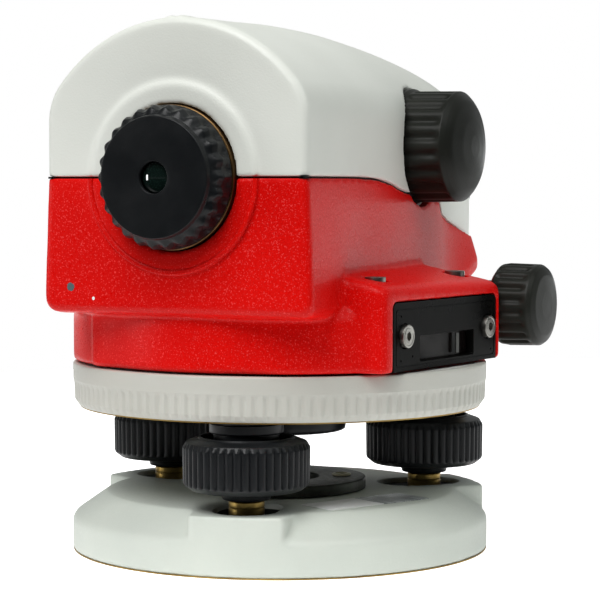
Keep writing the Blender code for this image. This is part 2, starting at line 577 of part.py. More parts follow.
def build_housing_fittings():
    turned("standing_axis", STEEL, [
        (0, 78.8), (4.0, 78.8), (4.0, 76.2), (13.0, 76.2), (13.0, 72.4), (9.0, 72.4),
        (9.0, 36.0), (7.8, 34.6), (0, 34.6)], 28)

    turn = (0, 0, math.radians(PLATE_TURN))
    centre = (PLATE_CENTRE[0], PLATE_CENTRE[1], 0)
    half = PLATE_HALF
    outline = [(-half, PLATE_Z0), (half, PLATE_Z0), (half, PLATE_Z1 - 1.8),
               (half - 0.55, PLATE_Z1 - 0.5), (half - 1.8, PLATE_Z1),
               (-half + 1.8, PLATE_Z1), (-half + 0.55, PLATE_Z1 - 0.5), (-half, PLATE_Z1 - 1.8)]
    sections = [[(x, y, z) for y, z in outline] for x in (-2.0, 0.0)]
    plate = loft("window_plate", BLACK_METAL, sections, True, centre, turn)
    cut(plate, block("plate_window", None, (-3.0, -14.6, 53.9), (2.0, 15.2, 60.4), centre, turn,
                     True))
    block("window_glass", GLASS, (-3.4, -15.8, 53.2), (-2.3, 16.3, 61.4), centre, turn)
    for i, offset in enumerate((-22.6, 23.2)):
        x, y, _ = plate_place(0, offset, 0)
        tool = rod(f"plate_bore_{i + 1}", None, 3.3, -1.3, 2.0, 16, (x, y, 60.8), "X", cutter=True)
        tool.rotation_euler = (0, math.pi / 2, math.radians(PLATE_TURN))
        cut(plate, tool)
        tool = rod(f"plate_hole_{i + 1}", None, 1.8, -4.0, 2.0, 12, (x, y, 60.8), "X", cutter=True)
        tool.rotation_euler = (0, math.pi / 2, math.radians(PLATE_TURN))
        cut(plate, tool)
        screw = turned(f"plate_screw_{i + 1}", STEEL, [
            (0, -0.7), (1.3, -0.7), (1.3, 0.5), (2.6, 0.5), (2.85, 0.2), (2.85, -1.0),
            (1.45, -1.0), (1.45, -8.0), (0, -8.0)], 16, (x, y, 60.8), "X")
        screw.rotation_euler = (0, math.pi / 2, math.radians(PLATE_TURN))
    for i, (x, y) in enumerate(((41.8, -27.6), (43.7, 19.8))):
        turned(f"ledge_screw_{i + 1}", STEEL, [
            (0, 73.9), (1.2, 73.9), (1.2, 74.9), (2.4, 74.9), (2.7, 74.6), (2.7, 72.9),
            (1.35, 72.9), (1.35, 67.0), (0, 67.0)], 16, (x, y, 0))

    tube = ring("telescope_tube", ALUMINIUM, 16.9, 18.6, 2.0, 79.5, 36, (0, 0, AXIS_Z), "Y")
    cut(tube, block("pinion_slot", None, (8.0, FOCUS_Y - 4.0, FOCUS_Z - 3.8),
                    (24.0, FOCUS_Y + 4.0, FOCUS_Z + 3.8), cutter=True))
    turned("objective_ring", BLACK_METAL, [
        (22.0, OBJ_FRONT_Y - 0.8), (22.0, 84.2), (19.1, 84.0), (19.1, 79.9), (16.9, 79.9),
        (16.9, 84.6), (18.2, 84.6), (19.6, OBJ_FRONT_Y), (21.2, OBJ_FRONT_Y)],
        40, (0, 0, AXIS_Z), "Y", closed=True)
    turned("objective_lens", GLASS, [
        (0, 84.0), (9.0, 83.5), (16.5, 82.0), (16.5, 80.4), (9.0, 79.8), (0, 79.6)],
        28, (0, 0, AXIS_Z), "Y")
    turned("inner_lens", GLASS, [
        (0, 64.2), (16.5, 62.9), (16.5, 60.6), (0, 61.4)], 28, (0, 0, AXIS_Z), "Y")

    frame = block("compensator_frame", ALUMINIUM, (-15.0, -21.0, 86.0), (15.0, -2.0, 117.4))
    cut(frame, block("frame_hollow", None, (-13.2, -23.0, 87.8), (13.2, 0.0, 115.6), cutter=True))
    prism_outline = [(-33.0, 94.6), (-24.0, 94.6), (-24.0, 107.6), (-28.0, 107.6), (-33.0, 102.6)]
    loft("erecting_prism", GLASS,
         [[(x, y, z) for y, z in prism_outline] for x in (-7.0, 7.0)])
    ring("reticle_mount", BLACK_METAL, 6.2, 11.8, 36.2, 39.4, 28, (0, 0, AXIS_Z), "-Y")
    rod("reticle_glass", GLASS, 5.9, 37.0, 38.4, 24, (0, 0, AXIS_Z), "-Y")
    turned("eyepiece_sleeve", BRONZE, [
        (16.3, 59.8), (18.25, 59.8), (18.25, 55.0), (20.4, 55.0), (20.4, 52.6), (14.0, 52.6),
        (14.0, 40.4), (12.3, 40.4), (12.3, 54.2), (16.3, 54.2)], 36, (0, 0, AXIS_Z), "-Y",
        closed=True)

    turned("level_holder", ALUMINIUM, [
        (0, 77.0), (8.3, 77.0), (8.3, 82.2), (9.5, 82.2), (9.5, 75.5), (0, 75.5)],
        28, (-45.5, -6.0, 0))
    rod("level_vial", LEVEL_LIQUID, 8.0, 77.3, 81.6, 24, (-45.5, -6.0, 0))
    ring("level_ring", BLACK_METAL, 6.0, 9.5, 82.5, 83.6, 28, (-45.5, -6.0, 0))

    turned("focus_bush", BRASS, [
        (5.0, 24.5), (5.0, 19.4), (3.0, 19.4), (3.0, 24.5)], 20, (0, FOCUS_Y, FOCUS_Z), "X",
        closed=True)
    for name, axis in (("drive_bush_right", "X"), ("drive_bush_left", "-X")):
        turned(name, BRASS, [
            (5.0, 45.6), (5.0, 37.0), (3.0, 37.0), (3.0, 45.6)], 20, (0, DRIVE_Y, DRIVE_Z), axis,
            closed=True)


# ---- moving optics and drives ---------------------------------------------
def build_focus():
    carriage = turned("focus_carriage", BRASS, [
        (16.4, 45.0), (16.4, 43.0), (10.4, 43.0), (10.4, 14.0), (16.4, 14.0), (16.4, 12.0),
        (9.2, 12.0), (9.2, 45.0)], 32, (0, 0, AXIS_Z), "Y", closed=True)
    join(carriage, block("rack_bar", None, (9.3, 13.0, 103.6), (13.6, 44.0, 105.9), cutter=True))
    pitch = 2 * math.pi * PINION_R / PINION_TEETH
    line = FOCUS_Z - PINION_R
    first = -7
    outline = [(FOCUS_Y + (first - 0.5) * pitch, 105.0)]
    for k in range(first, 8):
        y = FOCUS_Y + k * pitch
        outline += [(y - 0.27 * pitch, line - 0.75), (y - 0.10 * pitch, line + 0.5),
                    (y + 0.10 * pitch, line + 0.5), (y + 0.27 * pitch, line - 0.75)]
    outline.append((FOCUS_Y + 7.5 * pitch, 105.0))
    teeth = loft("rack_teeth", None, [[(x, y, z) for y, z in outline] for x in (9.8, 13.5)],
                 cutter=True)
    join(carriage, teeth)
    turned("focusing_lens", GLASS, [
        (0, 29.6), (8.9, 30.4), (8.9, 27.4), (0, 28.2)], 24, (0, 0, AXIS_Z), "Y")

    r = FOCUS_KNOB_R
    fluted("focus_knob", BLACK_RUBBER, [
        (2.6, 25.3, 0), (14.6, 25.3, 0), (r, 26.4, 0.0), (r, 28.6, 0.9), (r - 0.3, 40.6, 0.9),
        (r - 1.2, 42.6, 0), (12.4, 44.6, 0), (7.0, 45.9, 0), (2.4, 46.3, 0), (2.4, 45.0, 0),
        (2.6, 38.0, 0)], 13, (0, FOCUS_Y, FOCUS_Z), "X", closed=True)
    shaft = turned("focus_shaft", STEEL, [
        (0, 44.6), (2.2, 44.6), (2.2, 14.6), (1.6, 14.2), (1.6, 9.6), (0, 9.6)], 18,
        (0, FOCUS_Y, FOCUS_Z), "X")
    points = []
    for k in range(PINION_TEETH):
        a = 2 * math.pi * k / PINION_TEETH + math.pi / PINION_TEETH
        step = 2 * math.pi / PINION_TEETH
        for share, radius in ((-0.27, 1.75), (-0.17, 2.5), (-0.07, 3.0), (0.07, 3.0), (0.17, 2.5),
                              (0.27, 1.75)):
            b = a + share * step
            points.append((radius * math.cos(b), radius * math.sin(b)))
    pinion = prism("pinion_teeth", None, points, 9.9, 13.9, (0, FOCUS_Y, FOCUS_Z),
                   AXES["X"], True)
    join(shaft, pinion)


def build_eyepiece():
    fluted("eyepiece_knob", BLACK_RUBBER, [
        (4.0, 68.1, 0), (14.6, 68.1, 0), (15.3, 67.7, 0.3), (17.8, 64.4, 1.2), (18.05, 61.2, 1.0),
        (17.4, 60.2, 0), (15.9, 60.2, 0), (15.9, 55.0, 0), (12.4, 55.0, 0), (12.2, 66.3, 0),
        (5.2, 66.5, 0)], 13, (0, 0, AXIS_Z), "-Y", closed=True)
    ring("eyepiece_cell", BLACK_METAL, 9.7, 11.7, 41.6, 64.6, 28, (0, 0, AXIS_Z), "-Y")
    turned("eye_lens", GLASS, [
        (0, 63.9), (9.3, 62.6), (9.3, 60.4), (0, 59.6)], 24, (0, 0, AXIS_Z), "-Y")
    turned("field_lens", GLASS, [
        (0, 48.6), (9.3, 47.4), (9.3, 45.0), (0, 44.6)], 24, (0, 0, AXIS_Z), "-Y")


def build_drive():
    shaft = rod("drive_shaft", STEEL, 2.5, -59.5, 59.5, 18, (0, DRIVE_Y, DRIVE_Z), "X")
    pitch_radius = DRIVE_Y - WORM_R
    module = 2 * pitch_radius / WHEEL_TEETH
    lead = math.pi * module
    per_turn = 12
    turns = 2.6
    sections = []
    count = int(per_turn * turns)
    for k in range(count + 1):
        a = 2 * math.pi * (k / per_turn - turns / 2 + 0.25)
        mid = lead * (a / (2 * math.pi) - 0.25)
        section = []
        for radius, offset in ((2.2, -0.31), (6.5, -0.13), (6.5, 0.13), (2.2, 0.31)):
            section.append((mid + offset * lead, radius * math.sin(a), radius * math.cos(a)))
        sections.append(section)
    worm = loft("worm_thread", None, sections, True, (0, DRIVE_Y, DRIVE_Z), cutter=True)
    join(shaft, worm)
    r = DRIVE_KNOB_R
    out = DRIVE_OUT_X
    for name, axis in (("drive_knob_right", "X"), ("drive_knob_left", "-X")):
        fluted(name, BLACK_RUBBER, [
            (2.8, 48.4, 0), (8.6, 48.4, 0), (r - 0.4, 50.2, 0.0), (r + 0.1, 51.8, 0.7),
            (r - 0.2, 58.0, 0.7), (r - 0.9, 60.0, 0), (8.6, out - 1.0, 0), (4.0, out, 0),
            (2.0, out, 0), (2.8, 60.2, 0)], 11, (0, DRIVE_Y, DRIVE_Z), axis, closed=True)


def build_compensator():
    pendulum = block("pendulum", ALUMINIUM, (-9.0, -15.0, 111.8), (9.0, -9.0, 113.2))
    for i, (low, high) in enumerate((
            ((-9.0, -14.0, 93.2), (-8.2, -10.0, 112.0)), ((8.2, -14.0, 93.2), (9.0, -10.0, 112.0)),
            ((-9.01, -17.0, 91.4), (9.01, -7.0, 93.4)))):
        join(pendulum, block(f"pendulum_part_{i + 1}", None, low, high, cutter=True))
    outline = [(-16.5, 93.7), (-7.5, 93.7), (-12.0, 106.0)]
    loft("pendulum_prism", GLASS, [[(x, y, z) for y, z in outline] for x in (-7.4, 7.4)])


build_base()
build_footscrews()
build_tension_spring()
build_levelling_head()
build_circle()
build_cover()
build_housing()
build_housing_fittings()
build_focus()
build_eyepiece()
build_drive()
build_compensator()
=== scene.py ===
"""Looks of the automatic level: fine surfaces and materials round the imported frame.

Lengths in this script are millimetres in the axis frame: the standing axis is
x = y = 0, the telescope runs along Y with the eyepiece towards -Y, and z = 0 is
the underside of the base.  The frame gives where that is in the row frame.
"""
import json
import math

import bmesh
import bpy
from mathutils import Matrix, Vector


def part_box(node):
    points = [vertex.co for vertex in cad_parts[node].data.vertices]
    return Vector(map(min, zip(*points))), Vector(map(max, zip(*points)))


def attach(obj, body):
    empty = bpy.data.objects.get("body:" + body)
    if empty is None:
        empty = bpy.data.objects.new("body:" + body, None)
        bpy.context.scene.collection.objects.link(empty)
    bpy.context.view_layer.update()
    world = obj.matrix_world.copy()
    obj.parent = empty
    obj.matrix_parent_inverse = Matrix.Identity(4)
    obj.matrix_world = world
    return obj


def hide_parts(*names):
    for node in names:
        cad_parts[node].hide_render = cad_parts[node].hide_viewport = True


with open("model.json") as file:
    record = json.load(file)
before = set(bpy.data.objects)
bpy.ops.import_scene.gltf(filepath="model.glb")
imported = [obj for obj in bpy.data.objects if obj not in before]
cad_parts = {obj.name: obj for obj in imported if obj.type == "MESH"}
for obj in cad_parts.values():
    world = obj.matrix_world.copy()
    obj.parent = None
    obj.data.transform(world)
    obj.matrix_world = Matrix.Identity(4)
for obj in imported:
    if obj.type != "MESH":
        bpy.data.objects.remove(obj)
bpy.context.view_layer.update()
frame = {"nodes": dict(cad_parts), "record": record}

MM = 0.001
TAU = 2 * math.pi

# ---- driving dimensions, read from the frame ----
RING_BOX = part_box("circle_ring")
AXIS = Vector(((RING_BOX[0].x + RING_BOX[1].x) / 2, (RING_BOX[0].y + RING_BOX[1].y) / 2, 0.0))


def extent(node):
    """Lowest and highest corner of a CAD node in the axis frame."""
    low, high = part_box(node)
    return (low - AXIS) / MM, (high - AXIS) / MM


def middle(node):
    low, high = extent(node)
    return (low + high) / 2


RING_LOW, RING_HIGH = extent("circle_ring")
RING_R = RING_HIGH.x
RING_Z0, RING_Z1 = RING_LOW.z, RING_HIGH.z
DRUM_R = RING_R + 0.2
DRUM_Z0 = RING_Z1 + 0.5
DRUM_Z1 = 66.0
BASE_HIGH = extent("base_plate")[1]
BASE_R = BASE_HIGH.x
BASE_TOP_Z = BASE_HIGH.z
BASE_TOP_R = 47.5
BASE_WALL_Z = 9.0
AXIS_Z = middle("telescope_tube").z
COVER_LOW, COVER_HIGH = extent("upper_cover")
BOSS_Y = COVER_LOW.y
FRONT_Y = BOSS_Y + 0.9
NOSE_Y = COVER_HIGH.y
TOP_Z = COVER_HIGH.z
BOSS_R = 24.1
EYE_BORE_R = 18.6
FOCUS = middle("focus_knob")
DRIVE = middle("drive_shaft")
DRIVE_OUT_X = extent("drive_knob_right")[1].x
EYE_FRONT_Y = extent("eyepiece_knob")[0].y
OBJ_FRONT_Y = extent("objective_ring")[1].y
VIAL = middle("level_vial")
SCREWS = [middle(f"footscrew_knob_{i}") for i in (1, 2, 3)]
PLATE_TURN = math.radians(-4.8)
PLATE_FACE = Vector((51.85, -4.55, 0.0))
PLATE_HALF = 28.6
PLATE_Z0, PLATE_Z1 = 51.9, 69.4
PLATE_GAP = 0.25
PLATE_SCREWS = ((-22.6, 60.8), (23.2, 60.8))

# stations of the body along Y: half width, rise of the cover, height of the seam
STATIONS = (-58.0, -38.0, -19.0, 0.0, 19.0, 38.0, 57.0, 71.2, 83.6)
HALF_WIDTHS = (37.9, 36.4, 34.5, 33.0, 31.3, 29.5, 27.3, 24.8, 22.0)
RISES = (40.3, 40.5, 40.9, 40.5, 39.2, 37.4, 35.0, 32.8, 30.5)
SEAM_STATIONS = (-58.0, -28.5, -12.0, 2.0, 12.0, 30.0, 43.8, 45.8, 64.0, 83.6)
SEAM_HEIGHTS = (101.1, 101.1, 100.9, 99.5, 97.6, 95.6, 94.5, 91.2, 86.2, 82.4)
SEAM_GAP = 0.24
COVER_OVERHANG = 0.5

LOOKS = bpy.data.collections.new("looks")
bpy.context.scene.collection.children.link(LOOKS)

AXES = {
    "Z": Matrix.Identity(3),
    "-Z": Matrix.Rotation(math.pi, 3, "X"),
    "X": Matrix.Rotation(math.pi / 2, 3, "Y"),
    "-X": Matrix.Rotation(-math.pi / 2, 3, "Y"),
    "Y": Matrix.Rotation(-math.pi / 2, 3, "X"),
    "-Y": Matrix.Rotation(math.pi / 2, 3, "X"),
}


# ---- small helpers ----
def smooth_table(x, xs, ys):
    """Smooth value of a table at x, level where the table is level."""
    if x <= xs[0]:
        return ys[0]
    if x >= xs[-1]:
        return ys[-1]
    i = max(k for k in range(len(xs) - 1) if xs[k] <= x)
    slopes = [(ys[k + 1] - ys[k]) / (xs[k + 1] - xs[k]) for k in range(len(xs) - 1)]

    def tangent(k):
        if k == 0 or k == len(xs) - 1:
            return slopes[0] if k == 0 else slopes[-1]
        a, b = slopes[k - 1], slopes[k]
        return 0.0 if a * b <= 0 else 2 * a * b / (a + b)

    h = xs[i + 1] - xs[i]
    t = (x - xs[i]) / h
    return (ys[i] * (2 * t**3 - 3 * t**2 + 1) + ys[i + 1] * (3 * t**2 - 2 * t**3)
            + h * tangent(i) * (t**3 - 2 * t**2 + t) + h * tangent(i + 1) * (t**3 - t**2))


def half_width(y):
    return smooth_table(y, STATIONS, HALF_WIDTHS)


def rise(y):
    return smooth_table(y, STATIONS, RISES)


def seam(y):
    return smooth_table(y, SEAM_STATIONS, SEAM_HEIGHTS)


def polar(radius, azimuth):
    """A point at an azimuth in degrees, counted from -Y towards +X."""
    a = math.radians(azimuth)
    return radius * math.sin(a), -radius * math.cos(a)


def step(x, low, high):
    """0 below low, 1 above high, smooth between."""
    t = min(max((x - low) / (high - low), 0.0), 1.0)
    return t * t * (3 - 2 * t)


def window(x, low, high, soft):
    """1 between low and high, 0 outside, smooth over the width soft."""
    return step(x, low, low + soft) * (1 - step(x, high - soft, high))


def place(centre=(0, 0, 0), axis="Z", turn=0.0):
    """Matrix that puts a piece at a point of the axis frame, along an axis."""
    spin = AXES[axis] if isinstance(axis, str) else axis
    at = AXIS + Vector(centre) * MM
    return Matrix.Translation(at) @ spin.to_4x4() @ Matrix.Rotation(turn, 4, "Z")


# where the turned pieces sit: the origin on their axis and local Z along it
EYE_WAY = place((0, 0, AXIS_Z), "-Y")
OBJECTIVE_WAY = place((0, 0, AXIS_Z), "Y")
FOCUS_WAY = place((0, FOCUS.y, FOCUS.z), "X")
DRIVE_WAYS = {
    "right": place((0, DRIVE.y, DRIVE.z), "X"),
    "left": place((0, DRIVE.y, DRIVE.z), "-X"),
}


def new_object(name, mesh, matrix=None):
    obj = bpy.data.objects.new(name, mesh)
    LOOKS.objects.link(obj)
    obj.matrix_world = matrix or place()
    return obj


def mesh_from(name, verts, faces):
    """A closed mesh from points in millimetres, faces turned outwards."""
    bm = bmesh.new()
    made = [bm.verts.new(Vector(v) * MM) for v in verts]
    for face in faces:
        bm.faces.new([made[i] for i in face])
    bmesh.ops.recalc_face_normals(bm, faces=bm.faces)
    mesh = bpy.data.meshes.new(name)
    bm.to_mesh(mesh)
    bm.free()
    return mesh


def rounded(points, closed=False, arc=4, longest=None):
    """Rounds the corners of an outline whose points are (a, b) or (a, b, radius)."""
    out = []
    count = len(points)
    for i, point in enumerate(points):
        corner = Vector(point[:2])
        radius = point[2] if len(point) > 2 else 0.0
        if radius <= 0 or (not closed and i in (0, count - 1)):
            out.append(corner)
            continue
        before = Vector(points[i - 1][:2]) - corner
        after = Vector(points[(i + 1) % count][:2]) - corner
        angle = before.angle(after)
        reach = min(radius / math.tan(angle / 2), 0.48 * before.length, 0.48 * after.length)
        start = corner + before.normalized() * reach
        end = corner + after.normalized() * reach
        for k in range(arc + 1):
            t = k / arc
            out.append((1 - t) ** 2 * start + 2 * t * (1 - t) * corner + t**2 * end)
    if longest:
        fine = []
        for i, point in enumerate(out):
            fine.append(point)
            if i == len(out) - 1 and not closed:
                break
            leap = out[(i + 1) % len(out)] - point
            pieces = max(1, math.ceil(leap.length / longest))
            fine += [point + leap * k / pieces for k in range(1, pieces)]
        out = fine
    return [(p.x, p.y) for p in out]


def rectangle(x0, y0, x1, y1, low_r, high_r, arc=4):
    """A rectangle's outline, with one corner radius at y0 and one at y1."""
    corners = [(x0, y0, low_r), (x1, y0, low_r), (x1, y1, high_r), (x0, y1, high_r)]
    return rounded(corners, True, arc)


def lathe(name, profile, steps=96, ripple=None, closed=False, matrix=None):
    """Turns a profile of (radius, height) round local Z; ripple(r, z, angle) gives the radius."""
    verts, faces, rings = [], [], []
    for r, z in profile:
        if r < 1e-6:
            rings.append([len(verts)])
            verts.append((0.0, 0.0, z))
            continue
        rings.append(list(range(len(verts), len(verts) + steps)))
        for k in range(steps):
            a = TAU * k / steps
            radius = ripple(r, z, a) if ripple else r
            verts.append((radius * math.cos(a), radius * math.sin(a), z))
    pairs = list(zip(rings, rings[1:]))
    if closed:
        pairs.append((rings[-1], rings[0]))
    for low, high in pairs:
        for k in range(steps):
            m = (k + 1) % steps
            if len(low) == 1 and len(high) == 1:
                continue
            if len(low) == 1:
                faces.append((low[0], high[m], high[k]))
            elif len(high) == 1:
                faces.append((low[k], low[m], high[0]))
            else:
                faces.append((low[k], low[m], high[m], high[k]))
    return new_object(name, mesh_from(name, verts, faces), matrix)


def loft(name, sections, matrix=None, ring=False):
    """Joins closed rings of points, with flat ends or, as a ring, end to start."""
    n = len(sections[0])
    count = len(sections)
    verts = [p for section in sections for p in section]
    faces = []
    for i in range(count if ring else count - 1):
        a, b = i * n, ((i + 1) % count) * n
        faces += [(a + k, a + (k + 1) % n, b + (k + 1) % n, b + k) for k in range(n)]
    if not ring:
        faces += [tuple(range(n)), tuple(range((count - 1) * n, count * n))]
    return new_object(name, mesh_from(name, verts, faces), matrix)


def prism(name, outline, z0, z1, matrix=None, edge=0.0):
    """A flat outline pushed up; edge rounds its top and bottom rim inwards."""
    layers = [(z0, 0.0), (z1, 0.0)]
    if edge:
        layers = [(z0, edge), (z0 + edge * 0.3, edge * 0.3), (z0 + edge, 0.0),
                  (z1 - edge, 0.0), (z1 - edge * 0.3, edge * 0.3), (z1, edge)]
    centre = sum((Vector(p) for p in outline), Vector((0, 0))) / len(outline)
    sections = []
    for z, inset in layers:
        section = []
        for p in outline:
            out = Vector(p) - centre
            q = centre + Vector((out.x - math.copysign(min(inset, abs(out.x)), out.x),
                                 out.y - math.copysign(min(inset, abs(out.y)), out.y)))
            section.append((q.x, q.y, z))
        sections.append(section)
    return loft(name, sections, matrix)


def box_solid(name, low, high, matrix=None):
    corners = [(low[0], low[1]), (high[0], low[1]), (high[0], high[1]), (low[0], high[1])]
    return prism(name, corners, low[2], high[2], matrix)


def rod(name, radius, z0, z1, matrix=None, steps=64):
    return lathe(name, [(0, z1), (radius, z1), (radius, z0), (0, z0)], steps, matrix=matrix)


def bake(obj):
    """Replaces an object's mesh with what its modifiers make of it."""
    bpy.context.view_layer.update()
    graph = bpy.context.evaluated_depsgraph_get()
    mesh = bpy.data.meshes.new_from_object(obj.evaluated_get(graph))
    old = obj.data
    obj.modifiers.clear()
    obj.data = mesh
    bpy.data.meshes.remove(old)
    return obj


def gather(name, objects):
    """One object in the axis frame from several, which are removed."""
    bm = bmesh.new()
    inverse = place().inverted()
    for obj in objects:
        mesh = obj.data.copy()
        mesh.transform(inverse @ obj.matrix_world)
        bm.from_mesh(mesh)
        bpy.data.meshes.remove(mesh)
        bpy.data.objects.remove(obj)
    mesh = bpy.data.meshes.new(name)
    bm.to_mesh(mesh)
    bm.free()
    return new_object(name, mesh)


def subtract(obj, cutters, solver="MANIFOLD"):
    """Cuts the cutters out of obj and removes them."""
    for cutter in cutters:
        mod = obj.modifiers.new("Cut", "BOOLEAN")
        mod.operation = "DIFFERENCE"
        mod.solver = solver
        mod.object = cutter
    bake(obj)
    for cutter in cutters:
        bpy.data.objects.remove(cutter)
    return obj


def soften(obj, voxel, rounds):
    """Remeshes a solid finely and rounds its edges, as a casting's are."""
    mod = obj.modifiers.new("Remesh", "REMESH")
    mod.mode = "VOXEL"
    mod.voxel_size = voxel * MM
    mod.use_smooth_shade = True
    if rounds:
        smooth = obj.modifiers.new("Smooth", "SMOOTH")
        smooth.factor = 0.5
        smooth.iterations = rounds
    return bake(obj)


def cast(name, solids, holes=(), bores=(), voxel=0.6, soft=12, crisp=3):
    """A cast part: its solids melted together, its holes softened, its bores sharp."""
    obj = soften(gather(name, solids), voxel, soft)
    if holes:
        subtract(obj, holes)
        soften(obj, voxel, crisp)
    if bores:
        subtract(obj, bores)
    return obj


def shade(obj, degrees):
    """Smooth shading with the sharp edges kept."""
    obj.data.shade_smooth()
    obj.data.set_sharp_from_angle(angle=math.radians(degrees))


def fit_out(obj, mat, body, slot, *nodes, degrees=38):
    """Gives a piece its material and body, and hides what it stands for."""
    obj.data.materials.clear()
    obj.data.materials.append(mat)
    shade(obj, degrees)
    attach(obj, body)
    if nodes:
        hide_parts(*nodes)
    return obj


def turned(name, points, steps, mat, body, slot, *nodes, matrix=None, closed=True, arc=4):
    """A turned piece from its outline of (radius, height, corner radius), fitted out."""
    shape = lathe(name, rounded(points, closed, arc), steps, closed=closed, matrix=matrix)
    return fit_out(shape, mat, body, slot, *nodes)


# ---- materials ----
class Tree:
    """Short ways to add and join nodes."""

    def __init__(self, tree):
        self.nodes = tree.nodes
        self.links = tree.links

    def node(self, kind, **settings):
        made = self.nodes.new("ShaderNode" + kind)
        for key, value in settings.items():
            setattr(made, key, value)
        return made

    def link(self, source, target):
        self.links.new(source, target)
        return source

    def spread(self, value, low, high, out_low=0.0, out_high=1.0, curve="LINEAR"):
        """Maps a value's range to another, clamped."""
        made = self.node("MapRange", interpolation_type=curve)
        for key, number in (("From Min", low), ("From Max", high),
                            ("To Min", out_low), ("To Max", out_high)):
            made.inputs[key].default_value = number
        self.link(value, made.inputs["Value"])
        return made.outputs["Result"]

    def maths(self, operation, a, b=None):
        made = self.node("Math", operation=operation)
        for socket, value in ((made.inputs[0], a), (made.inputs[1], b)):
            if isinstance(value, (int, float)):
                socket.default_value = value
            elif value is not None:
                self.link(value, socket)
        return made.outputs[0]


class Surface(Tree):
    """A Principled material under construction."""

    def __init__(self, name):
        self.mat = bpy.data.materials.new(name)
        self.mat.use_nodes = True
        super().__init__(self.mat.node_tree)
        self.shader = self.nodes["Principled BSDF"]
        self.coord = self.node("TexCoord").outputs["Object"]

    def stretched(self, scale):
        """The object coordinate scaled by a vector, for grain with a direction."""
        mapping = self.node("Mapping")
        mapping.inputs["Scale"].default_value = scale
        self.link(self.coord, mapping.inputs["Vector"])
        return mapping.outputs["Vector"]

    def noise(self, scale, detail=3.0, rough=0.5, vector=None):
        made = self.node("TexNoise")
        made.inputs["Scale"].default_value = scale
        made.inputs["Detail"].default_value = detail
        made.inputs["Roughness"].default_value = rough
        self.link(vector or self.coord, made.inputs["Vector"])
        return made.outputs["Fac"]

    def mix(self, factor, a, b):
        """A colour between a and b, which are colours or sockets."""
        made = self.node("Mix", data_type="RGBA")
        if isinstance(factor, (int, float)):
            made.inputs["Factor"].default_value = factor
        else:
            self.link(factor, made.inputs["Factor"])
        for socket, value in ((made.inputs[6], a), (made.inputs[7], b)):
            if isinstance(value, tuple):
                socket.default_value = (*value, 1.0)
            else:
                self.link(value, socket)
        return made.outputs[2]

    def colour(self, value):
        self.link(value, self.shader.inputs["Base Color"])

    def rough(self, value):
        self.link(value, self.shader.inputs["Roughness"])

    def bump(self, height, depth, strength=1.0, after=None):
        """Bump of a height 0..1 that is depth metres tall."""
        made = self.node("Bump")
        made.inputs["Strength"].default_value = strength
        made.inputs["Distance"].default_value = depth
        self.link(height, made.inputs["Height"])
        if after is not None:
            self.link(after, made.inputs["Normal"])
        self.link(made.outputs["Normal"], self.shader.inputs["Normal"])
        return made.outputs["Normal"]

    def set(self, **values):
        for key, value in values.items():
            self.shader.inputs[key.replace("_", " ")].default_value = value
        return self

    def spot(self, centre, radius):
        """1 in a ragged spot round a point of the axis frame, 0 outside."""
        distance = self.node("VectorMath", operation="DISTANCE")
        self.link(self.coord, distance.inputs[0])
        distance.inputs[1].default_value = Vector(centre) * MM
        ragged = self.maths("MULTIPLY_ADD", self.noise(1800, 2.0), radius * MM)
        ragged.node.inputs[2].default_value = radius * 0.5 * MM
        return self.maths("LESS_THAN", distance.outputs["Value"], ragged)


def painted(name, dark, light, rough, grain, depth, chips=(), coat=0.0, speckle=0.0,
            gloss=0.5):
    """Textured paint: cloudy colour, orange peel and small chips."""
    s = Surface(name)
    cloud = s.noise(18.0, 4.0)
    colour = s.mix(s.spread(cloud, 0.35, 0.65), dark, light)
    peel = s.noise(grain, 2.0, 0.45)
    if speckle:
        bright = s.spread(s.noise(grain * 1.9, 0.0), 0.64, 0.76, 0.0, speckle)
        colour = s.mix(bright, colour, tuple(min(1.0, c * 1.1 + 0.07) for c in light))
    for centre, radius, chip_colour in chips:
        colour = s.mix(s.spot(centre, radius), colour, chip_colour)
    s.colour(colour)
    s.rough(s.spread(peel, 0.3, 0.7, rough[0], rough[1]))
    s.bump(peel, depth)
    return s.set(Coat_Weight=coat, Coat_Roughness=0.12, Specular_IOR_Level=gloss).mat


def moulded(name, dark, light, rough, grain=2200.0, depth=0.00003, gloss=0.22):
    """Moulded plastic or rubber: a fine grain and slight wear."""
    s = Surface(name)
    wear = s.noise(60.0, 5.0, 0.6)
    s.colour(s.mix(s.spread(wear, 0.4, 0.7), dark, light))
    s.rough(s.spread(wear, 0.3, 0.7, rough[0], rough[1]))
    s.bump(s.noise(grain, 2.0), depth)
    return s.set(Specular_IOR_Level=gloss).mat


def metal(name, dark, light, rough, lines=(900.0, 900.0, 25.0), depth=0.000012):
    """Machined metal with fine lines along one direction."""
    s = Surface(name)
    drawn = s.noise(1.0, 3.0, 0.6, s.stretched(lines))
    tarnish = s.noise(90.0, 4.0)
    s.colour(s.mix(s.spread(tarnish, 0.35, 0.7), light, dark))
    s.rough(s.spread(drawn, 0.3, 0.7, rough[0], rough[1]))
    s.bump(drawn, depth, 0.7)
    return s.set(Metallic=1.0).mat


def lens_glass(name, tint, coating):
    """Coated optical glass over a dark inside, with faint dust."""
    s = Surface(name)
    dust = s.noise(700.0, 5.0, 0.7)
    s.colour(s.mix(s.spread(dust, 0.62, 0.8, 0.0, 0.5), tint, coating))
    s.rough(s.spread(dust, 0.4, 0.8, 0.02, 0.12))
    return s.set(IOR=1.7, Coat_Weight=0.6, Coat_Roughness=0.03, Specular_IOR_Level=0.7).mat


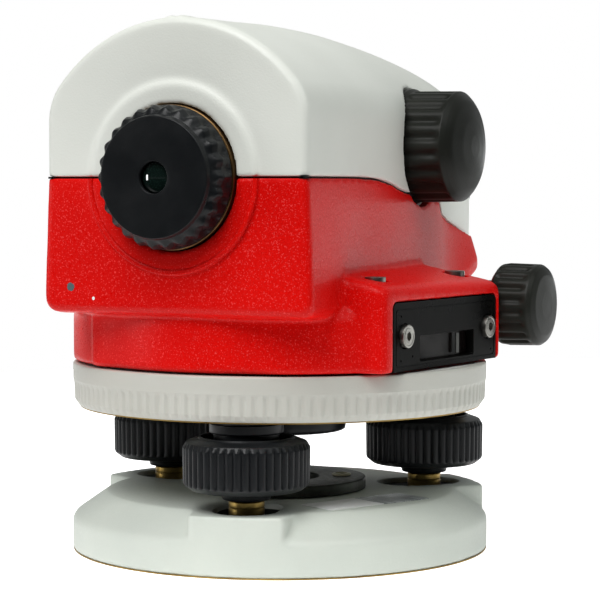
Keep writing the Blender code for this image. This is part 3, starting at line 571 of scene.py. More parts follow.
def clear_glass(name, tint):
    """Clear glass of the prisms, discs and vial."""
    s = Surface(name)
    haze = s.noise(300.0, 4.0)
    s.colour(s.mix(s.spread(haze, 0.4, 0.75, 0.0, 0.3), tint, (1.0, 1.0, 1.0)))
    s.rough(s.spread(haze, 0.4, 0.8, 0.01, 0.08))
    return s.set(Transmission_Weight=0.85, IOR=1.5).mat


CHIPS = (
    ((-30.5, -58.4, 73.0), 1.1, (0.10, 0.13, 0.14)),
    ((-23.6, -58.4, 70.2), 0.45, (0.85, 0.87, 0.86)),
    ((51.6, -12.5, 72.6), 0.42, (0.80, 0.66, 0.58)),
    ((41.0, -10.5, 75.8), 0.35, (0.10, 0.01, 0.01)),
)
RED = painted("red_paint", (0.65, 0.003, 0.002), (0.76, 0.005, 0.003), (0.26, 0.42), 1500.0,
              0.00007, CHIPS, speckle=0.6, gloss=0.12)
COVER = painted("cover_grey", (0.76, 0.78, 0.72), (0.82, 0.84, 0.78), (0.36, 0.52), 2000.0,
                0.00004)
GREY = painted("grey_paint", (0.52, 0.56, 0.51), (0.59, 0.63, 0.57), (0.42, 0.60), 1300.0,
               0.00005)
RING_GREY = painted("ring_grey", (0.50, 0.50, 0.45), (0.56, 0.56, 0.51), (0.38, 0.55), 1600.0,
                    0.00004)
BLACK = moulded("black_grip", (0.007, 0.008, 0.009), (0.012, 0.013, 0.014), (0.26, 0.42),
                gloss=0.2)
GREEN_BLACK = moulded("green_black_grip", (0.012, 0.013, 0.011), (0.019, 0.020, 0.016),
                      (0.30, 0.50), gloss=0.15)
ANODISED = moulded("black_metal", (0.008, 0.009, 0.011), (0.016, 0.017, 0.019), (0.28, 0.42),
                   3200.0, 0.000012)
DARK_DISC = metal("dark_disc", (0.035, 0.038, 0.032), (0.075, 0.08, 0.07), (0.38, 0.55))
STEEL = metal("steel", (0.20, 0.19, 0.17), (0.42, 0.41, 0.38), (0.26, 0.42))
WINDOW_DARK = moulded("window_dark", (0.004, 0.003, 0.003), (0.010, 0.007, 0.006), (0.10, 0.22),
                      300.0, 0.000002, 0.12)
READER = moulded("scale_reader", (0.03, 0.03, 0.028), (0.08, 0.078, 0.07), (0.2, 0.4), 400.0,
                 0.000004)
PLATE_BLACK = moulded("plate_black", (0.003, 0.003, 0.003), (0.007, 0.007, 0.006), (0.22, 0.36),
                      1800.0, 0.00002, 0.03)
BRASS = metal("brass", (0.22, 0.13, 0.03), (0.42, 0.29, 0.09), (0.28, 0.46))
BRONZE = metal("bronze", (0.09, 0.05, 0.02), (0.20, 0.12, 0.05), (0.30, 0.48))
ALUMINIUM = metal("aluminium", (0.48, 0.49, 0.50), (0.64, 0.65, 0.67), (0.30, 0.45))
LENS = lens_glass("coated_lens", (0.004, 0.010, 0.008), (0.02, 0.05, 0.04))
GLASS = clear_glass("glass", (0.90, 0.97, 0.94))
LIQUID = clear_glass("level_liquid", (0.72, 0.86, 0.22))
# Plain black: rubber on the slot liners and the level's mark, painted shade on the strip in the seam
# gap
BLACK_RUBBER_AND_SEAM_SHADE = moulded("black_rubber_and_seam_shade", (0.006, 0.006, 0.006), (0.012, 0.012, 0.012), (0.6, 0.8))
RIVET_CREAM = painted("rivet_cream", (0.55, 0.52, 0.36), (0.68, 0.65, 0.48), (0.35, 0.5), 1500.0,
                      0.00003)
LABEL_WHITE = painted("label_white", (0.80, 0.81, 0.80), (0.87, 0.88, 0.87), (0.3, 0.45), 900.0,
                      0.00001)


def label_foil():
    """The right part of the blank type label: pale foil with faint plain lines."""
    s = Surface("label_foil")
    lines = s.noise(1.0, 2.0, 0.5, s.stretched((60.0, 2400.0, 60.0)))
    s.colour(s.mix(s.spread(lines, 0.45, 0.60), (0.24, 0.26, 0.27), (0.60, 0.62, 0.63)))
    s.rough(s.spread(lines, 0.3, 0.7, 0.25, 0.42))
    s.bump(lines, 0.00001)
    return s.set(Metallic=0.1).mat


def scale_ring():
    """White circle scale with a black graduation line at each degree."""
    s = Surface("scale_white")
    angle = s.node("TexGradient", gradient_type="RADIAL")
    s.link(s.coord, angle.inputs["Vector"])
    turn = s.maths("MULTIPLY", angle.outputs["Fac"], 360.0)
    tick = s.maths("LESS_THAN", s.maths("FRACT", turn), 0.12)
    paper = s.mix(s.spread(s.noise(200.0), 0.3, 0.7), (0.72, 0.72, 0.68), (0.80, 0.80, 0.76))
    s.colour(s.mix(tick, paper, (0.02, 0.02, 0.02)))
    s.rough(s.spread(s.noise(500.0), 0.3, 0.7, 0.4, 0.55))
    return s.mat


FOIL = label_foil()
SCALE = scale_ring()
SLOT_MATERIALS = {
    "grey_paint": GREY, "ring_grey": RING_GREY, "cover_grey": COVER, "red_paint": RED,
    "black_grip": BLACK, "black_metal": ANODISED, "dark_disc": DARK_DISC, "steel": STEEL,
    "brass": BRASS, "bronze": BRONZE, "glass": GLASS, "aluminium": ALUMINIUM,
    "level_liquid": LIQUID, "scale_white": SCALE,
}
for subpart in frame["record"]["subparts"]:
    node_object = frame["nodes"][subpart["node"]]
    node_object.data.materials.clear()
    node_object.data.materials.append(SLOT_MATERIALS[subpart["material_slot"]])
    shade(node_object, 35)
frame["nodes"]["window_glass"].data.materials[0] = WINDOW_DARK


# ---- shapes shared by the cover and the housing ----
def end_trim(y, y0, y1, radius0, radius1):
    """How far a section shrinks where a rounded end edge starts."""
    for gap, radius in ((y - y0, radius0), (y1 - y, radius1)):
        if gap < radius:
            return radius - math.sqrt(max(radius**2 - (radius - max(gap, 0.0)) ** 2, 0.0))
    return 0.0


def stations(y0, y1, radius0, radius1, pitch=2.5):
    """Stations along Y, close together on the rounded ends."""
    start = [y0 + radius0 * (1 - math.cos(math.pi / 2 * k / 6)) for k in range(6)]
    end = [y1 - radius1 * (1 - math.cos(math.pi / 2 * k / 6)) for k in range(6)]
    first, last = y0 + radius0, y1 - radius1
    count = math.ceil((last - first) / pitch)
    return start + [first + (last - first) * k / count for k in range(count + 1)] + end[::-1]


ARCH_W, ARCH_H, ARCH_TOP_R, ARCH_SIDE_R = 39.6, 42.6, 46.3, 16.0


def arch(width, height, count_side=14, count_top=26):
    """Three-arc arch from the right foot over the top to the left foot."""
    low = ARCH_H - ARCH_TOP_R
    x2 = ARCH_W - ARCH_SIDE_R
    z2 = low + math.sqrt((ARCH_TOP_R - ARCH_SIDE_R) ** 2 - x2**2)
    bend = math.atan2(z2 - low, x2)
    right = [(x2 + ARCH_SIDE_R * math.cos(bend * k / count_side),
              z2 + ARCH_SIDE_R * math.sin(bend * k / count_side)) for k in range(count_side + 1)]
    top = []
    for k in range(1, count_top):
        a = bend + (math.pi - 2 * bend) * k / count_top
        top.append((ARCH_TOP_R * math.cos(a), low + ARCH_TOP_R * math.sin(a)))
    left = [(-x, z) for x, z in reversed(right)]
    return [(x * width / ARCH_W, z * height / ARCH_H) for x, z in right + top + left]


def cover_section(y, trim, inset=0.0, foot=70.0):
    w = half_width(y) - inset - trim
    t = rise(y) - inset - trim
    return [(w, y, foot)] + [(x, y, AXIS_Z + z) for x, z in arch(w, t)] + [(-w, y, foot)]


def body_section(y, trim, inset, floor, top, corner):
    """Section of the lower housing: straight sides and rounded lower corners."""
    w = half_width(y) - inset - trim - COVER_OVERHANG
    wide = w + 1.6 + 3.2 * step(y, 47.0, 74.0)
    right = [(w, top), (wide, floor + corner * 1.5)]
    right += [(wide - corner * (1 - math.cos(math.pi / 2 * k / 5)),
               floor + corner * (1 - math.sin(math.pi / 2 * k / 5))) for k in range(6)]
    outline = right + [(-x, z) for x, z in reversed(right)]
    return [(x, y, z) for x, z in outline]


def eye_boss(name):
    """Round raised face about the eyepiece, with a soft rim."""
    profile = rounded([(0, -BOSS_Y), (BOSS_R, -BOSS_Y, 1.1), (BOSS_R + 0.5, -BOSS_Y - 4.0),
                       (0, -BOSS_Y - 4.0)], arc=6)
    return lathe(name, profile, 128, matrix=EYE_WAY)


def seam_half(name, side):
    """All the space above the seam (side 1) or below it (side -1)."""
    sections = []
    for k in range(170):
        y = FRONT_Y - 8 + k * 0.95
        z = seam(y) - side * SEAM_GAP
        far = z + side * 90.0
        sections.append([(-70, y, z), (70, y, z), (70, y, far), (-70, y, far)])
    return loft(name, sections)


# ---- cover ----
def build_cover():
    ys = stations(FRONT_Y, NOSE_Y, 2.0, 3.0)
    shell = loft("cover_shell", [cover_section(y, end_trim(y, FRONT_Y, NOSE_Y, 2.0, 3.0))
                                 for y in ys])
    sight_outline = rectangle(-2.4, FRONT_Y + 0.8, 2.4, FRONT_Y + 8.0, 1.2, 2.0)
    sight = prism("sight_pad", sight_outline, TOP_Z - 8.0, TOP_Z - 0.75)
    holes = [
        seam_half("cover_seam", -1),
        rod("cover_eye_bore", EYE_BORE_R, 45.0, 70.0, EYE_WAY, 128),
        rod("focus_pocket", 16.6, 24.8, 60.0, FOCUS_WAY, 128),
        rod("sight_hole", 0.85, -6.0, 12.0, place((0, FRONT_Y, TOP_Z - 0.6), "Y"), 24),
        box_solid("sight_slot", (-0.45, FRONT_Y - 3, TOP_Z - 0.8), (0.45, FRONT_Y + 12, TOP_Z + 3.0)),
    ]
    inner_ys = stations(FRONT_Y + 2.6, NOSE_Y - 2.4, 2.0, 2.0, 6.0)
    cavity = loft("cover_cavity", [
        cover_section(y, end_trim(y, FRONT_Y + 2.6, NOSE_Y - 2.4, 2.0, 2.0), 2.4, 60.0)
        for y in inner_ys])
    subtract(cavity, [rod("focus_wall", 17.6, 21.6, 36.0, FOCUS_WAY, 64)])
    bores = [
        cavity,
        rod("objective_bore", 19.5, 78.0, 90.0, OBJECTIVE_WAY, 96),
        rod("focus_bush_hole", 5.3, 15.0, 30.0, FOCUS_WAY, 48),
    ]
    cover = cast("cover_shell_fine", [shell, eye_boss("cover_boss"), sight], holes, bores,
                 voxel=0.55, soft=5, crisp=3)
    fit_out(cover, COVER, "alidade", "cover_grey", "upper_cover")


# ---- lower housing ----
def drum_radius(r, z, angle):
    """The drum has a facet on its left front and is set back under the front wall."""
    azimuth = math.degrees(angle) - 270.0 if angle > math.pi else math.degrees(angle) + 90.0
    if r > 50 and -75.0 < azimuth < -33.0:
        return r - 1.0 * (azimuth + 75.0) / 42.0
    if r > 50:
        return r - 1.5 * window(azimuth, -33.0, 30.0, 12.0)
    return r


def window_outline(inset=0.0, corner=3.2):
    return rounded([(30.0, -38.2 + inset), (49.3 - inset, -38.2 + inset, corner),
                    (54.8 - inset, 26.4 - inset, corner * 0.5), (30.0, 26.4 - inset)], True, 6)


def window_box(name, inset, z0, top, edge=2.6, corner=3.2):
    """Box on the right side of the drum that carries the window plate."""
    layers = [(z0, 0.0), (top - edge, 0.0), (top - edge * 0.6, edge * 0.08),
              (top - edge * 0.25, edge * 0.34), (top - edge * 0.06, edge * 0.66), (top, edge)]
    sections = [[(x, y, z + (52.0 - x) * 0.2 * (z > z0 + 1)) for x, y in
                 window_outline(inset + rim, corner)] for z, rim in layers]
    return loft(name, sections)


def plate_layers(name, layers, ring=False):
    """A solid from outlines in the plane of the plate, each at a height off its face."""
    sections = [[(x, y, z) for y, z in outline] for x, outline in layers]
    return loft(name, sections, plate_matrix(), ring)


def plate_matrix(local_y=0.0, z=0.0, axis="Z"):
    """Puts a piece on the tilted face of the window plate."""
    turn = Matrix.Rotation(PLATE_TURN, 3, "Z")
    at = PLATE_FACE + turn @ Vector((0, local_y, 0)) + Vector((0, 0, z))
    return place(at, turn @ AXES[axis])


def build_housing():
    ys = stations(FRONT_Y, 76.0, 1.4, 3.0)
    body = []
    for y in ys:
        trim = end_trim(y, FRONT_Y, 76.0, 1.4, 3.0)
        floor = DRUM_Z1 + end_trim(y, FRONT_Y, 200.0, 3.0, 1.0) + step(y, 45.0, 84.0) * 8.0
        body.append(body_section(y, trim, 0.0, floor, seam(y) + 8.0, 3.0))
    front_box = loft("front_box", body)
    drum = lathe("drum", rounded([(0, 77.2), (31, 77.0, 4), (48, 73.2, 14), (DRUM_R, DRUM_Z1, 5.0),
                                  (DRUM_R, DRUM_Z0), (0, DRUM_Z0)], arc=6), 360, drum_radius)
    window = window_box("window_box", 0.0, DRUM_Z0 + 0.02, 73.3)
    pad = rod("level_pad", 10.2, 60.0, 75.2, place((VIAL.x, VIAL.y, 0)))
    solids = [front_box, drum, window, pad, eye_boss("housing_boss")]

    turn = plate_matrix()
    half = PLATE_HALF + PLATE_GAP
    pocket_outline = rectangle(-half, 45.0, half, PLATE_Z1 + PLATE_GAP, 0.0, 2.0)
    pocket = plate_layers("plate_pocket", ((-2.3, pocket_outline), (9.0, pocket_outline)))
    holes = [
        seam_half("housing_seam", 1),
        pocket,
        rod("housing_eye_bore", EYE_BORE_R, 45.0, 70.0, EYE_WAY, 128),
        rod("focus_pocket_low", 16.6, 24.8, 60.0, FOCUS_WAY, 128),
        rod("drive_pocket_right", 12.1, 48.0, 70.0, DRIVE_WAYS["right"], 96),
        rod("drive_pocket_left", 12.1, 48.0, 70.0, DRIVE_WAYS["left"], 96),
    ]
    for i in (1, 2):
        at = middle(f"ledge_screw_{i}")
        holes.append(rod(f"ledge_recess_{i}", 3.5, 72.7, 90.0, place((at.x, at.y, 0)), 48))
    inner_ys = stations(FRONT_Y + 2.6, 73.0, 1.5, 1.5, 6.0)
    inside = loft("housing_inside", [
        body_section(y, end_trim(y, FRONT_Y + 2.6, 73.0, 1.5, 1.5), 2.6,
                     69.0 + step(y, 45.0, 84.0) * 8.0, 120.0, 1.5) for y in inner_ys])
    drum_inside = lathe("drum_inside", [(0, 74.0), (29, 74.0), (47, 70.2), (52.4, 67.8),
                                        (54.2, 65.0), (54.2, 54.6), (0, 54.6)], 96)
    bridge = box_solid("axis_bridge", (-60, -14, 76.5), (60, 14, 79.6))
    subtract(inside, [bridge])
    core_outline = rounded([(38.8, -34.4), (44.5, -34.4, 1.5), (50.2, 22.2, 1.5), (38.8, 22.2)],
                           True, 3)
    core = prism("window_core", core_outline, 50.0, 70.2)
    bores = [
        inside, drum_inside, core,
        rod("floor_hole", 15.4, 45.0, 60.0, place(), 96),
        rod("tube_bore", 19.1, 60.0, 90.0, OBJECTIVE_WAY, 96),
        rod("axis_pin_hole", 4.4, 74.0, 85.0, place(), 48),
        rod("drive_hole", 5.3, -60.0, 60.0, DRIVE_WAYS["right"], 48),
        box_solid("glass_pocket", (-3.7, -16.2, 52.9), (0.5, 16.7, 61.8), turn),
        box_solid("light_path", (-20.0, -12.0, 55.4), (0.5, 12.0, 60.4), turn),
    ]
    for i, offset in enumerate(PLATE_SCREWS):
        bores.append(rod(f"plate_tap_{i + 1}", 1.8, -9.0, 2.0, plate_matrix(*offset, "X"), 32))
        at = middle(f"ledge_screw_{i + 1}")
        bores.append(rod(f"ledge_tap_{i + 1}", 1.7, 66.5, 80.0, place((at.x, at.y, 0)), 32))
    housing = cast("housing_fine", solids, holes, bores, voxel=0.60, soft=5, crisp=3)
    fit_out(housing, RED, "alidade", "red_paint", "lower_housing")
    bead = lathe("boss_rim", rounded([(22.9, -BOSS_Y - 1.0), (24.7, -BOSS_Y - 1.0),
                                      (24.6, -BOSS_Y + 0.25, 0.5), (23.3, -BOSS_Y + 0.25, 0.6)],
                                     True, 5), 160, closed=True,
                 matrix=EYE_WAY)
    subtract(bead, [seam_half("boss_rim_seam", 1)])
    fit_out(bead, RED, "alidade", "red_paint")


def seam_shade_strip():
    """Black strip that fills the seam between cover and housing: painted shade that keeps the gap
    dark.
    """
    path = [(EYE_BORE_R + 1.0, FRONT_Y)]
    path += [(half_width(y), y) for y in stations(FRONT_Y, 74.0, 1.0, 1.0, 1.0)]
    loop = path + [(-x, y) for x, y in reversed(path)]
    sections = []
    for i, (x, y) in enumerate(loop):
        before = Vector(loop[max(i - 1, 0)])
        after = Vector(loop[min(i + 1, len(loop) - 1)])
        along = (after - before).normalized()
        inward = Vector((-along.y, along.x))
        outer = Vector((x, y)) + inward * 1.1
        inner = Vector((x, y)) + inward * 2.3
        z = seam(y)
        half = SEAM_GAP + 0.02
        sections.append([(outer.x, outer.y, z - half), (outer.x, outer.y, z + half),
                         (inner.x, inner.y, z + half), (inner.x, inner.y, z - half)])
    # the black strip is painted shade standing in for the dark seam gap
    fit_out(loft("seam_shade_strip", sections), BLACK_RUBBER_AND_SEAM_SHADE, "alidade", "black_metal")


# ---- window plate, screws and reader strip ----
def socket_screw(name, head_r, head_h, length, matrix, body, node):
    """Button-edged screw with a hexagon socket and a turned ring on its head."""
    profile = rounded([(0, head_h), (head_r - 0.9, head_h, 0.1), (head_r - 0.75, head_h - 0.12, 0.1),
                       (head_r - 0.55, head_h, 0.1), (head_r, head_h, 0.35), (head_r, 0.0, 0.1),
                       (head_r * 0.5, 0.0), (head_r * 0.5, -length, 0.2), (0, -length)], arc=3)
    screw = lathe(name, profile, 64, matrix=matrix)
    hexagon = [(1.25 * math.cos(TAU * k / 6), 1.25 * math.sin(TAU * k / 6)) for k in range(6)]
    subtract(screw, [prism(name + "_socket", hexagon, head_h - 1.2, head_h + 1.0, matrix)])
    fit_out(screw, STEEL, body, "steel", node, degrees=30)


def build_window():
    outline = rectangle(-PLATE_HALF, PLATE_Z0, PLATE_HALF, PLATE_Z1, 0.0, 1.9, 6)
    slab = plate_layers("plate_slab", ((-2.0, outline), (0.0, outline)))
    outer = rectangle(-27.4, 53.0, 27.4, 67.9, 1.0, 1.2)
    inner = rectangle(-27.05, 53.35, 27.05, 67.55, 0.8, 1.0)
    groove = plate_layers("plate_groove", (
        (0.5, outer), (0.5, inner), (-0.22, inner), (-0.22, outer)), ring=True)
    opening = rectangle(-14.6, 53.9, 15.2, 60.4, 0.6, 0.6)
    wide = [(y * 1.03, 57.15 + (z - 57.15) * 1.12) for y, z in opening]
    cut = plate_layers("plate_opening", ((-3.0, opening), (-0.5, opening), (0.6, wide)))
    cutters = [groove, cut]
    for i, offset in enumerate(PLATE_SCREWS):
        spot = plate_matrix(*offset, "X")
        cutters.append(rod(f"plate_bore_{i + 1}", 3.35, -1.3, 2.0, spot))
        cutters.append(rod(f"plate_hole_{i + 1}", 1.8, -4.0, 2.0, spot, 32))
    for i, (y, z) in enumerate(((-24.6, 65.9), (24.9, 65.9), (-18.6, 55.4), (25.6, 54.6),
                                (-24.8, 54.6))):
        cutters.append(rod(f"plate_dot_{i + 1}", 0.32, -0.25, 1.0, plate_matrix(y, z, "X"), 16))
    subtract(slab, cutters, "EXACT")
    bevel = slab.modifiers.new("Bevel", "BEVEL")
    bevel.width = 0.12 * MM
    bevel.segments = 2
    bevel.limit_method = "ANGLE"
    bevel.angle_limit = math.radians(50)
    bake(slab)
    slab.name = "window_plate_fine"
    fit_out(slab, PLATE_BLACK, "alidade", "black_metal", "window_plate", degrees=30)

    for i, offset in enumerate(PLATE_SCREWS):
        socket_screw(f"plate_screw_fine_{i + 1}", 3.0, 1.7, 6.8,
                     plate_matrix(*offset, "X") @ Matrix.Translation((0, 0, -0.5 * MM)),
                     "alidade", f"plate_screw_{i + 1}")
        at = middle(f"ledge_screw_{i + 1}")
        socket_screw(f"ledge_screw_fine_{i + 1}", 2.75, 2.0, 5.9, place((at.x, at.y, 73.8)),
                     "alidade", f"ledge_screw_{i + 1}")
    strip = rectangle(7.4, 54.6, 9.0, 59.9, 0.3, 0.3)
    reader = plate_layers("scale_reader_strip", ((-1.4, strip), (-1.1, strip)))
    fit_out(reader, READER, "alidade", "glass")


# ---- horizontal circle ----
RIBS = 120


def ring_radius(r, z, angle):
    """Grip pads under the smooth upper band of the ring."""
    if r < RING_R - 2.2:
        return r
    phase = (angle * RIBS / TAU) % 1.0
    groove = 1.0 - window(phase, 0.10, 0.90, 0.16)
    reach = window(z, RING_Z0 + 0.6, RING_Z1 - 4.7, 0.8)
    return r - (0.12 + 0.42 * groove) * reach


def build_circle():
    profile = rounded([
        (RING_R, RING_Z1, 0.7), (RING_R, RING_Z1 - 4.5, 0.2), (RING_R - 0.12, RING_Z1 - 4.9),
        (RING_R - 0.3, RING_Z0 + 1.8, 0.5), (RING_R - 1.7, RING_Z0, 1.0), (53.3, RING_Z0, 0.3),
        (53.3, 48.2), (18.0, 48.2), (18.0, 45.9), (14.4, 45.9), (14.4, 50.6), (54.2, 50.6),
        (54.4, RING_Z1, 0.2)], True, 4, 1.2)
    thin = [profile[0]]
    for point in profile[1:]:
        if point[0] > RING_R - 2.4 or math.dist(point, thin[-1]) > 3.0:
            thin.append(point)
    ring = lathe("circle_ring_fine", thin, RIBS * 8, ring_radius, True)
    fit_out(ring, RING_GREY, "circle", "ring_grey", "circle_ring", degrees=50)
    turned("circle_scale_fine", [
        (38.0, 50.75), (53.4, 50.75), (53.4, 51.1, 0.1), (38.0, 51.1, 0.1)],
        180, SCALE, "circle", "scale_white", "circle_scale")
    turned("circle_ring_lip", [
        (RING_R - 1.8, RING_Z0 + 0.25, 0.1), (RING_R - 1.8, RING_Z0 - 0.25, 0.1),
        (53.6, RING_Z0 - 0.25, 0.1), (53.6, RING_Z0 + 0.25, 0.1)], 240, BRASS, "circle", "brass")


# ---- levelling head ----
def build_head():
    hub = lathe("hub", rounded([
        (9.4, 31.9), (18.2, 31.9, 0.8), (18.2, 45.5, 0.5), (14.0, 45.5), (14.0, 70.0),
        (9.4, 70.0)], True, 4), 128, closed=True)
    solids = [hub]
    holes = []
    for i, at in enumerate(SCREWS):
        angle = math.atan2(at.y, at.x)
        reach = math.hypot(at.x, at.y)
        arm = rounded([(15.0, -9.4), (reach - 4, -9.8), (reach - 4, 9.8), (15.0, 9.4)], True)
        solids.append(prism(f"arm_{i + 1}", arm, 38.2, 45.4, place((0, 0, 0), "Z", angle)))
        solids.append(lathe(f"arm_end_{i + 1}", rounded([
            (0, 45.4), (10.3, 45.4, 0.6), (10.3, 38.2, 0.6), (0, 38.2)]), 96,
            matrix=place((at.x, at.y, 0))))
        holes.append(rod(f"arm_bore_{i + 1}", 8.2, 36.0, 48.0, place((at.x, at.y, 0)), 64))
    bores = [rod("head_bore", 9.4, 28.0, 75.0, place(), 96)]
    head = cast("levelling_head_fine", solids, holes, bores, voxel=0.6, soft=3, crisp=2)
    fit_out(head, ANODISED, "head", "black_metal", "levelling_head")
    for i, at in enumerate(SCREWS):
        turned(f"footscrew_sleeve_{i + 1}", [
            (7.6, 46.0, 0.3), (7.6, 38.1), (9.6, 38.1), (9.6, 35.7, 0.5), (8.6, 35.6),
            (8.6, 33.0, 0.2), (6.4, 33.0), (6.4, 46.0)], 96, ANODISED, "head", "black_metal",
            f"footscrew_bush_{i + 1}", matrix=place((at.x, at.y, 0)), arc=3)


# ---- footscrews ----
FOOT_RIBS = 46


def footscrew_radius(r, z, angle):
    """Rounded ribs with sharp valleys between them."""
    if r < 13.0:
        return r
    rib = abs(math.cos(angle * FOOT_RIBS / 2))
    return r - 0.60 * (1 - rib) * window(z, 22.2, 33.0, 0.9) - 0.02


def build_footscrews():
    r = 16.5
    for i, at in enumerate(SCREWS):
        spot = place((at.x, at.y, 0), "Z", 0.4 * i)
        knob = lathe(f"footscrew_grip_{i + 1}", rounded([
            (3.8, 18.5), (6.2, 18.5, 0.4), (6.7, 20.6, 0.8), (14.4, 21.0, 1.5),
            (r - 0.1, 22.6, 1.2), (r, 32.0, 1.0), (r - 0.9, 33.5, 0.8), (13.4, 34.3, 1.5),
            (12.5, 34.4, 0.2), (12.4, 34.8, 0.2), (11.8, 34.8, 0.2), (11.8, 29.6),
            (3.8, 29.6)], True, 4, 1.2), FOOT_RIBS * 10, footscrew_radius, True, spot)
        fit_out(knob, BLACK, f"footscrew_{i + 1}", "black_grip", f"footscrew_knob_{i + 1}",
                degrees=50)
        thread = []
        for k in range(16):
            z = 41.2 - k * 0.75
            thread += [(3.5, z), (3.1, z - 0.38)]
        spindle = lathe(f"footscrew_spindle_fine_{i + 1}", [(0, 42.0), (3.0, 42.0)] + thread
                        + rounded([(3.5, 29.0), (3.5, 18.3), (4.65, 18.1, 0.3),
                                   (4.65, 16.6, 0.2), (4.5, 16.4, 0.1), (4.65, 16.2, 0.2),
                                   (4.65, 4.6, 0.6), (3.0, 2.4, 0.6), (0, 2.4)], arc=3), 64,
                        matrix=spot)
        fit_out(spindle, BRASS, f"footscrew_{i + 1}", "brass", f"footscrew_spindle_{i + 1}")


# ---- base ----
def build_base():
    plate = lathe("base_disc", rounded([
        (0, BASE_TOP_Z), (BASE_TOP_R, BASE_TOP_Z, 1.5), (BASE_R - 0.7, BASE_WALL_Z + 0.6, 1.2),
        (BASE_R, BASE_WALL_Z - 0.6, 0.6), (BASE_R, 0.2, 0.6), (BASE_R - 0.8, 0.0), (0, 0)]), 256)
    solids, holes = [plate], []
    lug_half = 12.9
    for i, at in enumerate(SCREWS):
        angle = math.atan2(at.y, at.x)
        span = math.asin((lug_half - 0.6) / BASE_R)
        arc = [(BASE_R * math.cos(span * t / 6), BASE_R * math.sin(span * t / 6))
               for t in range(-6, 7)]
        outline = [(44.0, -lug_half - 1.0), (52.5, -lug_half)] + arc + [
            (52.5, lug_half), (44.0, lug_half + 1.0)]
        solids.append(prism(f"lug_{i + 1}", outline, 4.0, BASE_TOP_Z,
                            place((0, 0, 0), "Z", angle)))
        slot = []
        for k in range(48):
            a = TAU * k / 48
            stretch = 3.3 * math.copysign(1, math.cos(a))
            slot.append((8.35 * math.cos(a) + stretch, 8.35 * math.sin(a)))
        x, y = 41.0 * math.cos(angle), 41.0 * math.sin(angle)
        holes.append(prism(f"slot_{i + 1}", slot, -4.0, 30.0, place((x, y, 0), "Z", angle)))
    holes.append(lathe("base_under", rounded([
        (0, 12.7), (47.0, 12.7, 3), (52.3, 8.6, 2), (52.3, -5.0), (0, -5.0)]), 192))
    holes.append(rod("base_centre", 12.5, -5.0, 30.0, place(), 96))
    bores = []
    for i in (1, 2, 3):
        at = middle(f"disc_rivet_{i}")
        bores.append(rod(f"base_rivet_hole_{i}", 2.1, 5.0, 30.0, place((at.x, at.y, 0)), 32))
    base = cast("base_plate_fine", solids, holes, bores, voxel=0.6, soft=2, crisp=2)
    fit_out(base, GREY, "base", "grey_paint", "base_plate")

    disc = lathe("centre_disc_fine", rounded([
        (10.8, 19.0, 0.5), (23.7, 19.0, 0.5), (23.7, 16.0, 0.2), (10.8, 16.0, 0.2)], True, 4),
        160, closed=True)
    subtract(disc, [rod(f"disc_rivet_hole_{i}", 2.15, 10.0, 24.0,
                        place((middle(f"disc_rivet_{i}").x, middle(f"disc_rivet_{i}").y, 0)), 32)
                    for i in (1, 2, 3)])
    fit_out(disc, DARK_DISC, "base", "dark_disc", "centre_disc", degrees=30)
    for i in (1, 2, 3):
        at = middle(f"disc_rivet_{i}")
        turned(f"rivet_eyelet_{i}", [
            (1.25, 19.3, 0.3), (1.7, 19.75, 0.3), (2.6, 19.6, 0.25), (2.65, 19.1, 0.1),
            (1.8, 19.05), (1.8, 11.4), (1.25, 11.4)], 48, RIVET_CREAM, "base", "brass",
            f"disc_rivet_{i}", matrix=place((at.x, at.y, 0)))

    for i, at in enumerate(SCREWS):
        turned(f"slot_liner_{i + 1}", [
            (5.1, 14.3, 0.1), (12.3, 14.3, 0.1), (12.3, 13.7, 0.1), (5.1, 13.7, 0.1)],
            96, BLACK_RUBBER_AND_SEAM_SHADE, "base", "black_metal", matrix=place((at.x, at.y, 0)))
    turned("base_rim", [
        (BASE_R - 0.05, 0.35, 0.1), (BASE_R - 0.05, 0.0, 0.1), (53.0, 0.0, 0.1),
        (53.0, 0.35, 0.1)], 256, BRASS, "base", "brass")

    azimuth, radius = 66.0, 36.2
    x, y = polar(radius, azimuth)
    spot = place((x, y, BASE_TOP_Z), "Z", math.radians(azimuth - 90.0))
    for name, low, high, mat in (("label_foil", 1.4, 17.0, FOIL),
                                 ("label_white", -17.0, 1.2, LABEL_WHITE)):
        outline = rectangle(-6.4, low, 6.4, high, 0.6, 0.6)
        label = prism(name, outline, 0.0, 0.16, spot, 0.03)
        fit_out(label, mat, "base", "scale_white")


# ---- knobs ----
def wave(r, depth, count, angle, power=1.0):
    """Radius of a grip with count rounded flutes."""
    return r - depth * (0.5 - 0.5 * math.cos(count * angle)) ** power


def build_focus_knob():
    r = 15.4

    def radius(rr, z, angle):
        if rr < 11.0:
            return rr
        return wave(rr, 0.95 * window(z, 28.6, 41.6, 1.3), 20, angle, 1.6)

    outside = rounded([
        (2.6, 25.4), (15.2, 25.4, 0.4), (16.2, 26.0, 0.4), (16.2, 27.6, 0.6), (r + 0.1, 28.6, 0.6),
        (r - 0.1, 41.8, 0.6), (r - 1.2, 42.9, 0.8), (12.5, 44.2, 6.0), (7.5, 45.6, 12.0),
        (3.0, 46.2, 8.0), (0.0, 46.3)], False, 6, 0.9)
    shaft_hole = [(2.6, 25.4), (2.6, 38.0), (0, 38.0)]
    knob = lathe("focus_knob_fine", outside[::-1] + shaft_hole, 20 * 16, radius, False, FOCUS_WAY)
    fit_out(knob, GREEN_BLACK, "focus_drive", "black_grip", "focus_knob", degrees=50)
    turned("focus_bush_fine", [
        (5.0, 24.5, 0.3), (5.0, 19.4, 0.3), (3.0, 19.4), (3.0, 24.5)],
        64, BRASS, "alidade", "brass", "focus_bush", matrix=FOCUS_WAY)


